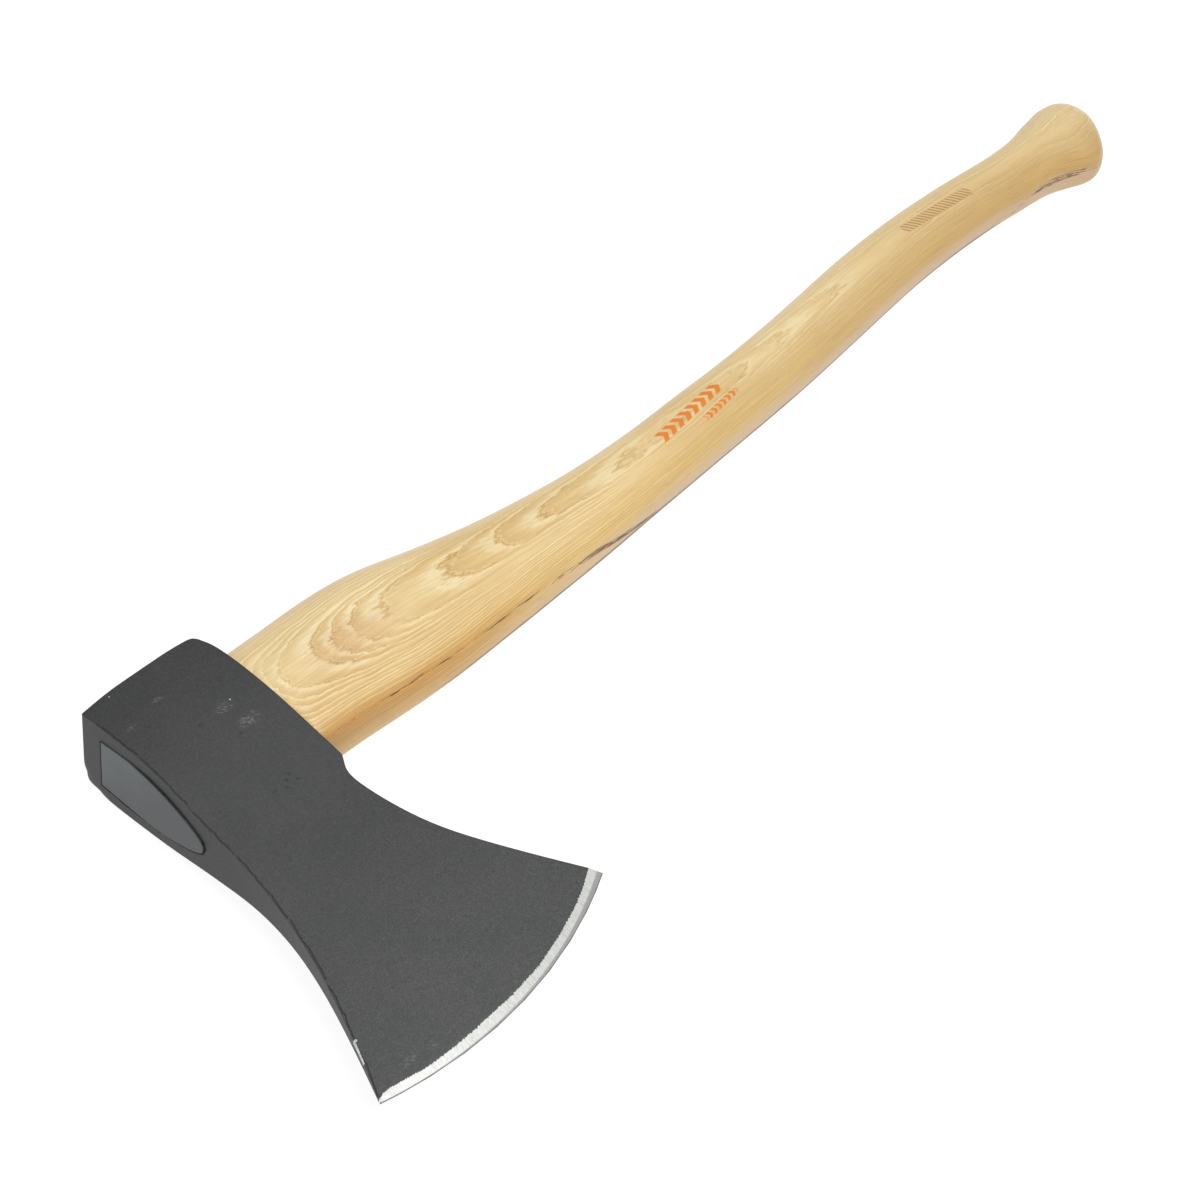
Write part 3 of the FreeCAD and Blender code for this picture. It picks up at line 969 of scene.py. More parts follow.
@dataclass(frozen=True)
class ClearHickory(Finish):
    """Pale hickory under a clear satin finish."""

    name: str = "clear_hickory"
    cream: Colour = (0.875, 0.745, 0.465)
    middle: Colour = (0.785, 0.605, 0.312)
    tan: Colour = (0.69, 0.485, 0.217)
    line: Colour = (0.56, 0.35, 0.138)
    rosy: Colour = (0.60, 0.42, 0.27)
    pore: Colour = (0.42, 0.25, 0.10)
    stain: Colour = (0.50, 0.25, 0.075)
    # Dark brown of the mineral streaks, also used for the painted shade in the low line on the bit
    # side.
    mineral: Colour = (0.095, 0.030, 0.010)
    print_orange: Colour = (0.70, 0.205, 0.012)
    burnt: Colour = (0.38, 0.19, 0.055)
    ring_width: float = 1.25
    side_rings: float = 5.0
    half_width: float = 20.0
    axis: Curve = (
        (0, 0.0), (110, 0.03), (150, 0.12), (200, 0.26), (240, 0.38), (330, 0.36), (420, 0.36),
        (500, 0.28), (600, 0.20), (710, 0.15))
    climb: Curve = (
        (0, -5.0), (60, 0.0), (67, 1.1), (81, 2.2), (92, 3.3), (108, 4.4), (124, 5.5), (150, 6.6),
        (177, 7.7), (202, 8.8), (234, 9.9), (270, 10.7), (310, 10.8), (355, 10.0), (391, 9.1),
        (430, 8.5), (477, 7.7), (530, 7.5), (600, 7.5), (640, 6.6), (667, 5.8), (681, 6.3),
        (688, 7.3), (694, 9.2), (702, 14.0))
    bold: Curve = (
        (0, 0.9), (160, 0.95), (260, 0.75), (340, 0.55), (500, 0.55), (600, 0.6), (710, 0.7))

    def lay_on(self, box: Paintbox) -> None:
        """Lay rings, fibres and pores, then tone them, then add streaks and marks.

        Args:
            box: The bench that the finish is built on.
        """
        box.place = self.flow(box)
        phase = box.math("FRACT", self.rings(box))
        fibre = box.noise(box.stretched(0.030, 1.3, 1.3), 1.0, 4.0, 0.65)
        pores = self.pore_mask(box, phase)
        colour = self.grown(box, phase, fibre)
        colour = box.blend(box.product(pores, 0.32), colour, self.pore)
        colour = self.toned(box, colour)
        colour = box.blend(self.streak_and_shade_mask(box), colour, self.mineral)
        colour = box.blend(self.print_mask(box), colour, self.print_orange)
        colour = box.blend(box.product(self.burn_mask(box), 0.85), colour, self.burnt)
        box.set("Base Color", colour)
        box.set("Roughness", box.math("MULTIPLY_ADD", fibre, 0.12, 0.36))
        box.set("Coat Weight", 0.15)
        box.set("Coat Roughness", 0.28)
        height = box.bump(fibre, 0.12, 0.15)
        box.set("Normal", box.bump(box.product(pores, -1.0), 0.25, 0.08, height))

    def grown(self, box: Paintbox, phase: Socket, fibre: Socket) -> Socket:
        """Colour of the rings and fibres, with broad clouds over them.

        Args:
            box: The bench that the finish is built on.
            phase: Share of the way through a ring.
            fibre: Noise drawn out along the haft.

        Returns:
            The colour.
        """
        colour = box.ramp(phase, (
            (0.0, self.middle), (0.05, self.line), (0.11, self.tan), (0.20, self.cream),
            (0.36, self.cream), (0.55, self.middle), (0.90, self.tan), (0.97, self.middle)))
        colour = box.blend(self.figure_share(box), self.middle, colour)
        fibres = box.ramp(fibre, ((0.3, (0.80, 0.77, 0.70)), (0.7, (1.10, 1.11, 1.13))))
        colour = box.tint(colour, fibres, 0.6)
        cloud = box.noise(box.stretched(0.010, 0.04, 0.04), 1.0, 2.0)
        return box.tint(colour, (0.92, 0.87, 0.78), box.step(cloud, 0.4, 0.7))

    def toned(self, box: Paintbox, colour: Socket) -> Socket:
        """Darker, warmer and rosier places along the haft, in the order they overlie; the darker bit
        side, the darker band on it further down and the rosy bit-side flank are painted shade.

        Args:
            box: The bench that the finish is built on.
            colour: The colour so far.

        Returns:
            The toned colour.
        """
        across = self.across(box)
        # Painted shade: the bit side is darkened.
        bit_side = box.step(across, 0.1, -0.85)
        # Darker over the grip.
        grip_darker = box.product(box.step(box.x, 420.0, 560.0), box.step(box.x, 690.0, 600.0))
        # Painted shade: a darker band on the bit side further down the haft.
        shady = box.product(box.step(box.x, 250.0, 430.0), box.step(across, 0.25, -0.55))
        heart = box.spot((103.0, -1.0, 14.0), (34.0, 8.0, 9.0))
        warm = box.product(box.step(across, -0.72, -0.92), box.step(box.x, 260.0, 90.0))
        for share, factors in (
                (bit_side, (0.93, 0.87, 0.74)), (grip_darker, (0.95, 0.915, 0.87)),
                (shady, (0.84, 0.79, 0.72)), (heart, (0.90, 0.83, 0.80)),
                (warm, (0.90, 0.76, 0.54))):
            colour = box.tint(colour, factors, share)
        colour = box.blend(self.stain_mask(box), colour, self.stain)
        poll_side = box.product(box.step(across, 0.6, 1.0), 0.35)
        # Painted shade with a pinkish reflection on the bit-side flank.
        painted_flank_shade = box.product(box.step(across, -0.93, -0.99), 0.55, box.step(box.x, 130.0, 280.0))
        for share in (poll_side, painted_flank_shade):
            colour = box.blend(share, colour, self.rosy)
        return colour

    def flow(self, box: Paintbox) -> Socket:
        """Position whose second part follows the bends of the haft, in millimetres."""
        return box.combine(box.x, box.product(self.across(box), self.half_width), box.z)

    def rings(self, box: Paintbox) -> Socket:
        """Count of growth rings: arches along the middle, straight lines at the sides.

        Args:
            box: The bench that the finish is built on.

        Returns:
            The count, rising by 1 a ring.
        """
        axis = box.curve(box.x, self.axis)
        sway = box.math("SUBTRACT", box.noise(box.stretched(0.012, 0.01, 0.01), 1.0, 2.0), 0.5)
        away = box.math("SUBTRACT", self.across(box), axis)
        away = box.math("MULTIPLY_ADD", sway, 0.22, away)
        reach = box.math("SUBTRACT", 1.0, box.product(box.math("SIGN", away), axis))
        side = box.math("DIVIDE", box.math("ABSOLUTE", away), reach)
        arches = box.product(box.curve(box.x, self.climb), box.step(side, 1.02, 0.30))
        spread = box.product(box.math("POWER", side, 2.3), self.side_rings)
        out = box.math("ADD", spread, box.math("DIVIDE", box.z, -self.ring_width))
        broad = box.math("SUBTRACT", box.noise(box.stretched(0.035, 0.07, 0.07), 1.0, 2.0), 0.5)
        jag = box.math("SUBTRACT", box.noise(box.stretched(0.10, 0.55, 0.55), 1.0, 3.0, 0.65), 0.5)
        total = box.math("SUBTRACT", out, arches)
        for wave in (broad, jag):
            total = box.math("MULTIPLY_ADD", wave, 0.9, total)
        uneven = box.noise(box.combine(total), 0.33, 1.0)
        return box.math("MULTIPLY_ADD", uneven, 2.2, total)

    def figure_share(self, box: Paintbox) -> Socket:
        """How strongly the rings show: boldest near the head, faint in places further on."""
        cloud = box.noise(box.stretched(0.02, 0.10, 0.10), 1.0, 2.0)
        return box.product(box.curve(box.x, self.bold), box.step(cloud, 0.22, 0.5))

    def pore_mask(self, box: Paintbox, phase: Sockets) -> Socket:
        """Short dark pores, thickest in the early wood of each ring."""
        dashes = box.noise(box.stretched(0.14, 2.6, 2.6), 1.0, 2.0, 0.6)
        return box.product(box.step(dashes, 0.56, 0.66), box.step(phase, 0.65, 0.1))

    def across(self, box: Paintbox) -> Socket:
        """Share of the half width from the haft's middle, -1 at the bit side.

        Args:
            box: The bench that the finish is built on.

        Returns:
            The share.
        """
        made = box.tree.nodes.new("ShaderNodeAttribute")
        made.attribute_name = "across"
        return made.outputs["Fac"]

    def stain_mask(self, box: Paintbox) -> Socket:
        """Orange stain around the mineral dashes near the head.

        Args:
            box: The bench that the finish is built on.

        Returns:
            1 on the mark and 0 off it.
        """
        stain = box.streak(
            0.015, ((40, 5.0), (110, 6.5), (170, 6.5), (240, 2.0)), ((40, 9.0), (110, 4.4), (240, 2.0)),
            ((40, 0.18), (110, 0.36), (190, 0.46), (240, 0.60)))
        return box.product(
            stain, box.step(self.across(box), -0.5, -0.8), box.step(box.x, 240.0, 70.0), 0.6)

    def streak_and_shade_mask(self, box: Paintbox) -> Socket:
        """Dark streaks along the bit side: broken mineral dashes, and a line low down that is partly
        mineral streak and partly painted shade.

        Args:
            box: The bench that the finish is built on.

        Returns:
            1 on the mark and 0 off it.
        """
        bit_side = box.step(self.across(box), -0.60, -0.75)
        dashes = box.streak(
            0.075,
            ((40, 9.0), (75, 8.4), (110, 8.0), (170, 7.0), (206, 5.6), (240, 1.5), (280, -3.6),
             (330, -6.0), (560, -6.0), (590, -3.0), (608, 2.4), (650, 3.4), (672, 3.0), (710, 0.0)),
            ((40, 0.42), (150, 0.46), (206, 1.0), (240, 1.8), (290, 2.0), (560, 2.0),
             (595, 1.5), (615, 2.2), (655, 2.2), (680, 0.8), (710, 0.4)),
            ((40, 0.46), (140, 0.50), (200, 0.47), (240, 0.42), (290, 0.55), (560, 0.80),
             (590, 0.60), (612, 0.52), (635, 0.44), (652, 0.50), (664, 0.60), (675, 0.56),
             (685, 0.80), (710, 0.90)))
        # The low line is partly a mineral streak and partly painted shade.
        line = box.streak(
            0.02,
            ((40, -3.2), (130, -3.2), (200, -3.4), (300, -3.7), (590, -3.7), (710, -3.4)),
            ((40, 0.4), (130, 1.0), (300, 2.0), (560, 1.9), (600, 0.7), (710, 0.4)),
            ((40, 0.80), (100, 0.62), (150, 0.36), (250, 0.26), (540, 0.26), (590, 0.55),
             (640, 0.9), (710, 0.9)))
        return box.product(box.largest(dashes, line), bit_side, 0.95)

    def marked(self, box: Paintbox, centre: tuple[float, float], turn: float
               ) -> tuple[Socket, Socket]:
        """Coordinates along and across a mark on the upper face of the haft.

        Args:
            box: The bench that the finish is built on.
            centre: Middle of the mark, in axe millimetres.
            turn: Its turn, in radians.

        Returns:
            The two coordinates.
        """
        dx = box.math("SUBTRACT", box.x, centre[0])
        dy = box.math("SUBTRACT", box.y, centre[1])
        cosine, sine = math.cos(turn), math.sin(turn)
        along = box.math("ADD", box.product(dx, cosine), box.product(dy, sine))
        aside = box.math("SUBTRACT", box.product(dy, cosine), box.product(dx, sine))
        return along, aside

    def inside(self, box: Paintbox, value: Sockets, half: float) -> Socket:
        """1 where a value is nearer to zero than a half width."""
        return box.step(box.math("ABSOLUTE", value), half + 0.08, half - 0.08)

    def print_mask(self, box: Paintbox) -> Socket:
        """A plain orange row of chevrons, printed on the haft.

        Args:
            box: The bench that the finish is built on.

        Returns:
            1 on the mark and 0 off it.
        """
        rows = []
        for centre, length, half, pitch in (
                ((319.0, -8.0), 25.0, 3.2, 3.2), ((334.0, -14.6), 13.5, 1.7, 2.0)):
            along, aside = self.marked(box, centre, 0.10)
            slant = box.math("ADD", along, box.math("ABSOLUTE", aside))
            bars = box.step(box.math("PINGPONG", slant, pitch), pitch * 0.36, pitch * 0.46)
            ends = box.product(self.inside(box, slant, length), self.inside(box, aside, half))
            rows.append(box.product(bars, ends))
        return box.product(box.largest(*rows), box.step(box.z, 0.0, 2.0))

    def burn_mask(self, box: Paintbox) -> Socket:
        """A plain hatched band, burnt into the grip.

        Args:
            box: The bench that the finish is built on.

        Returns:
            1 on the mark and 0 off it.
        """
        along, aside = self.marked(box, (544.0, 2.0), -0.06)
        hatch = box.math("PINGPONG", box.math("ADD", along, box.product(aside, 0.6)), 1.5)
        band = box.product(self.inside(box, along, 29.0), self.inside(box, aside, 3.2))
        return box.product(box.step(hatch, 0.65, 0.85), band, box.step(box.z, 0.0, 2.0))


@dataclass(frozen=True)
class SealResin(Finish):
    """Smooth grey resin that closes the eye, with a painted highlight at its upper poll corner."""

    name: str = "seal_resin"
    grey: Colour = (0.0286, 0.0362, 0.0385)
    lit: Colour = (2.30, 2.25, 2.25)
    nick: Colour = (0.03, 0.03, 0.033)

    def lay_on(self, box: Paintbox) -> None:
        """Lay the clouded grey, the painted highlight on its corner and one small nick.

        Args:
            box: The bench that the finish is built on.
        """
        cloud = box.noise(box.place, 0.09, 3.0, 0.6)
        colour = box.ramp(cloud, ((0.3, shades(self.grey, 0.9)), (0.7, shades(self.grey, 1.1))))
        # Painted highlight: the grey is lightened towards the upper poll corner.
        corner = box.step(box.math("MULTIPLY_ADD", box.z, 0.8, box.y), -4.0, 34.0)
        colour = box.blend(corner, colour, box.tint(colour, self.lit))
        nick = box.spot((-1.0, 9.5, -6.0), (3.0, 0.6, 2.2))
        box.set("Base Color", box.blend(box.product(nick, 0.5), colour, self.nick))
        box.set("Roughness", box.math("MULTIPLY_ADD", cloud, 0.1, 0.34))
        box.set("Normal", box.bump(box.noise(box.place, 0.25, 2.0), 0.2, 0.5))


@dataclass(frozen=True)
class WedgeWood(Finish):
    """Plain wood of the hidden kerf wedge."""

    name: str = "wedge_wood"
    wood: Colour = (0.40, 0.24, 0.11)

    def lay_on(self, box: Paintbox) -> None:
        """Lay the fibres.

        Args:
            box: The bench that the finish is built on.
        """
        fibre = box.noise(box.stretched(0.05, 1.4, 1.4), 1.0, 3.0)
        box.set("Base Color", box.ramp(fibre, ((0.3, shades(self.wood, 0.8)), (0.7, self.wood))))
        box.set("Roughness", box.math("MULTIPLY_ADD", fibre, 0.1, 0.6))


@dataclass(frozen=True)
class StudioFloor(Finish):
    """Pale matte floor that glows a little, so that it shows almost no shadow."""

    name: str = "studio_floor"
    pale: Colour = (0.16, 0.16, 0.16)
    glow: float = 0.92

    def lay_on(self, box: Paintbox) -> None:
        """Set the floor's colour and glow.

        Args:
            box: The bench that the finish is built on.
        """
        box.set("Base Color", self.pale)
        box.set("Roughness", 0.9)
        box.set("Emission Color", (1.0, 1.0, 1.0))
        box.set("Emission Strength", self.glow)


# ------------------------------------------------------------------ the pieces


@dataclass
class AxeHead:
    """The forged head: poll, cheeks, blade and ground edge."""

    space: AxeSpace
    depth: float = 59.5
    poll: float = 39.1
    half: float = 19.0
    crown: float = 1.6
    brow_lead: float = -0.4
    corner_round: tuple[float, float] = (2.2, 2.3)
    columns: tuple[float, ...] = (
        0.0, 0.06, 0.15, 0.27, 0.39, 0.51, 0.63, 0.75, 0.86, 0.94, 1.0)
    layers: tuple[float, ...] = (-1.0, -0.70, -0.25, 0.25, 0.70, 1.0)
    rows: tuple[HeadRow, ...] = HEAD_ROWS

    def build(self) -> bpy.types.Object:
        """Model the head.

        Returns:
            The finished mesh object.
        """
        bench = Bench("forged_head", self.space)
        start = self.rows[0].brow[1]
        bench.start_box((0, start, -self.half), (self.depth, self.poll, self.half))
        for share in self.columns[1:-1]:
            bench.cut((share * self.depth, 0, 0), (1, 0, 0))
        for share in self.layers[1:-1]:
            bench.cut((0, 0, share * self.half), (0, 0, 1))
        bench.select("FACE", lambda middle: abs(middle.y - start) < SAME_PLACE)
        self.shape_row(bench, self.rows[0])
        for before, row in zip(self.rows, self.rows[1:]):
            bench.extrude((0, row.brow[1] - before.brow[1], 0))
            self.shape_row(bench, row)
        self.round_poll(bench)
        self.set_creases(bench)
        head = bench.finish(levels=3, angle=32)
        bench.subtract(EyeShape(self.space).cutter())
        return head

    def shape_row(self, bench: Bench, row: HeadRow) -> None:
        """Put the selected end faces on a row, column by column.

        Args:
            bench: The bench that holds the head.
            row: The row to follow.
        """
        taken = bench.selected_numbers()
        columns = sorted({round(place.x, 3) for place in bench.selected()})
        for share, column in zip(self.columns, columns):
            place = bench.pick(taken, lambda point, column=column: abs(point.x - column) < SAME_PLACE)
            x, y = row.place(share)
            bench.move((x - place.x, y - place.y, 0))
            high = max(point.z for point in bench.selected())
            bench.stretch((1, 1, row.half(share) / high), (x, y, 0))
        bench.pick(taken, lambda point: True)
        bpy.ops.mesh.select_mode(type="FACE")

    def poll_place(self, share: float) -> tuple[float, float]:
        """Where the poll's outline runs at one share of the way from brow to beard.

        Args:
            share: Share of the way, from 0 at the brow to 1 at the beard.

        Returns:
            X and Y, in axe millimetres.
        """
        if share == 0:
            return self.brow_lead, self.poll
        if share == 1:
            return self.depth - self.corner_round[0], self.poll - self.corner_round[1]
        return share * self.depth, self.poll + self.crown * min(1.0, 5 * share * (1 - share))

    def round_poll(self, bench: Bench) -> None:
        """Crown the poll, bring its top corner forward and draw in the one beside the haft.

        Args:
            bench: The bench that holds the piece.
        """
        for share in self.columns:
            column = share * self.depth
            bench.select("VERT", lambda place, column=column: place.y > self.poll - 0.01
                         and abs(place.x - column) < SAME_PLACE)
            x, y = self.poll_place(share)
            bench.move((x - column, y - self.poll, 0))

    def set_creases(self, bench: Bench) -> None:
        """Keep the trimmed forging edges, the bevel border and the edge itself crisp.

        Args:
            bench: The bench that holds the piece.
        """
        poll = [self.poll_place(share) for share in self.columns]
        brow = [row.place(0.0) for row in self.rows] + poll[:1]
        beard = [row.place(1.0) for row in self.rows] + poll[-1:]
        upper = bench.upper_places()

        def lies(points: list[tuple[float, float]], place: Vector, side: float) -> bool:
            """Whether a place is in the top or bottom layer, on one of the outline points.

            Args:
                points: The outline points, as X and Y.
                place: The place to look at.
                side: 1 for the top layer, -1 for the bottom one.

            Returns:
                True if it is.
            """
            on_point = any(math.dist(place.xy, point) < ON_OUTLINE for point in points)
            high = upper[round(place.x, 2), round(place.y, 2)] if on_point else 0.0
            return on_point and high - side * place.z < SAME_PLACE

        for points, side, amount in (
                (brow, 1, Crease.SHARP), (brow[:-1], -1, Crease.SHARP), (beard, 1, Crease.CRISP),
                (beard, -1, Crease.EASED), (poll, 1, Crease.SHARP), (poll[2:], -1, Crease.CRISP)):
            bench.select_edges(
                lambda place, points=points, side=side: lies(points, place, side))
            bench.crease(amount)
        bench.select_edges(
            lambda place: math.dist(place.xy, poll[0]) < ON_OUTLINE and place.z > -0.8 * self.half)
        bench.crease(Crease.CRISP)
        for row in self.rows[-2:]:
            line = [row.place(share) for share in self.columns]
            bench.select_edges(
                lambda place, line=line: any(math.dist(place.xy, point) < ON_OUTLINE for point in line))
            bench.crease(Crease.SHARP)
        lug = self.rows[6].place(1.0)
        bench.select_edges(lambda place: math.dist(place.xy, lug) < ON_OUTLINE)
        bench.crease(Crease.EASED)


@dataclass
class EyeShape:
    """The outline of the eye, used for the opening and for the seal in it."""

    space: AxeSpace
    poll_end: float = 28.6
    poll_half: float = 12.3
    stations: tuple[tuple[float, float], ...] = (
        (14.0, 13.3), (3.0, 12.7), (-6.0, 11.3), (-13.0, 9.5), (-18.5, 7.6), (-23.3, 5.6),
        (-26.6, 3.4), (-28.0, 1.4))
    cut_from: float = -20.0
    cut_to: float = 80.0
    cut_grow: float = 0.48
    cut_shift: Point = (0.0, 0.3, -0.52)
    taper: float = 0.00235

    def prism(self, name: str, top: float, bottom: float, grow: float) -> Bench:
        """Make a straight block with the eye's outline.

        Args:
            name: Name of the object.
            top: X of its upper end.
            bottom: X of its lower end.
            grow: How far it stands outside the outline.

        Returns:
            The bench, still open for editing.
        """
        bench = Bench(name, self.space)
        place, next_half = self.stations[0]
        half = self.poll_half + grow
        bench.start_box((top, place, -half), (bottom, self.poll_end + grow, half))
        bench.select("FACE", lambda middle: abs(middle.y - place) < SAME_PLACE)
        bench.stretch((1, 1, (next_half + grow) / half), (0, 0, 0))
        for y, following in self.stations[1:]:
            half, next_half = next_half + grow, following
            reach = y - grow if y < 0 else y
            bench.extrude((0, reach - place, 0))
            bench.stretch((1, 1, (next_half + grow) / half), (0, 0, 0))
            place = reach
        return bench

    def cutter(self) -> bpy.types.Object:
        """Block that cuts the eye through the head.

        Returns:
            The cutting object.
        """
        bench = self.prism("eye_cutter", self.cut_from, self.cut_to, self.cut_grow)
        self.sharpen_poll_end(bench)
        for end in (self.cut_from, self.cut_to):
            bench.select("VERT", lambda place, end=end: abs(place.x - end) < SAME_PLACE)
            share = 1 - self.taper * end
            bench.stretch((1, share, share), (end, 0, 0))
        bpy.ops.mesh.select_all(action="SELECT")
        bench.move(self.cut_shift)
        return bench.finish(levels=2)

    def sharpen_poll_end(self, bench: Bench) -> None:
        """Keep the poll end square and the two ends of the block flat.

        Args:
            bench: The bench that holds the piece.
        """
        ends = sorted({round(place.x, 3) for place in bench.places()})
        for end in (ends[0], ends[-1]):
            bench.select_edges(lambda point, end=end: abs(point.x - end) < SAME_PLACE)
            bench.crease(Crease.SHARP)
        bench.select_edges(lambda point: point.y > self.poll_end - 0.5)
        bench.crease(Crease.SHARP)


@dataclass
class EyeSeal:
    """The resin plug that closes the top of the eye."""

    space: AxeSpace
    proud: float = 1.0
    deep: float = 3.9
    rim: float = 0.4
    rim_steps: int = 4
    rake: float = 0.055

    def build(self) -> bpy.types.Object:
        """Model the seal.

        Returns:
            The finished mesh object.
        """
        shape = EyeShape(self.space)
        bench = shape.prism("eye_plug", -self.proud, self.deep, 0.0)
        shape.sharpen_poll_end(bench)
        for y, _ in shape.stations[1:]:
            bench.select("VERT", lambda point, y=y: abs(point.y - y) < 0.3 and point.x < 0)
            bench.move((-self.rake * (shape.stations[0][0] - y), 0, 0))
        plug = bench.finish(levels=2)
        bpy.ops.object.mode_set(mode="EDIT")
        bench.select_edges(lambda point: point.x < 0)
        self.keep_outer_edges(bench)
        bpy.ops.mesh.bevel(offset=self.rim * MM, segments=self.rim_steps, affect="EDGES")
        bpy.ops.object.mode_set(mode="OBJECT")
        bpy.ops.object.shade_smooth_by_angle(angle=math.radians(35))
        return plug

    def keep_outer_edges(self, bench: Bench) -> None:
        """Leave only the edges around the face of the plug selected.

        Args:
            bench: The bench that holds the piece.
        """
        for edge in bench.mesh().edges:
            flat = [abs(face.normal.x) > 0.9 for face in edge.link_faces]
            if edge.select and (all(flat) or not any(flat)):
                edge.select_set(False)
        bmesh.update_edit_mesh(bench.piece.data)


@dataclass(frozen=True)
class Station:
    """One section of the haft: a rounded oval, the squarer the greater its power."""

    x: float
    centre: float
    width: float
    thick: float
    power: float = 2.35


HAFT_STATIONS = tuple(Station(*sizes) for sizes in (
    (61.3, 1.7, 61.6, 29.2, 3.4), (66.0, 1.8, 62.4, 29.2, 3.2), (84.0, 1.5, 64.2, 29.0, 2.85),
    (104.0, 0.8, 66.9, 28.8, 2.8), (120.0, 0.1, 67.7, 28.5, 2.75), (139.0, -1.4, 66.1, 28.1, 2.7),
    (158.0, -4.2, 59.4, 27.8, 2.65), (177.0, -6.5, 54.7, 27.5, 2.6),
    (197.0, -8.5, 49.4, 27.2, 2.55), (218.0, -9.8, 46.1, 27.0, 2.5),
    (240.0, -11.1, 42.0, 26.8, 2.5), (268.0, -11.3, 38.7, 26.5, 2.45), (297.0, -11.0, 37.5, 26.2),
    (328.0, -9.8, 37.5, 26.0), (360.0, -9.3, 36.5, 25.8), (394.0, -7.6, 36.9, 25.5),
    (429.0, -5.1, 36.8, 25.3), (467.0, -1.7, 37.8, 25.0), (505.0, 0.8, 37.0, 24.8),
    (544.0, 1.1, 36.6, 24.6), (583.0, -0.3, 35.8, 24.5), (607.0, -2.6, 36.0, 24.6),
    (631.0, -3.5, 35.8, 26.0), (649.0, -5.6, 43.6, 28.0), (660.0, -6.7, 50.6, 29.2),
    (667.0, -6.3, 50.3, 29.4), (674.0, -4.1, 48.6, 29.2), (681.0, -1.7, 43.8, 28.4),
    (688.0, 0.9, 36.6, 26.2), (694.0, 3.0, 27.8, 21.8), (698.6, 3.8, 16.4, 15.0),
    (700.6, 3.4, 5.2, 7.0)))


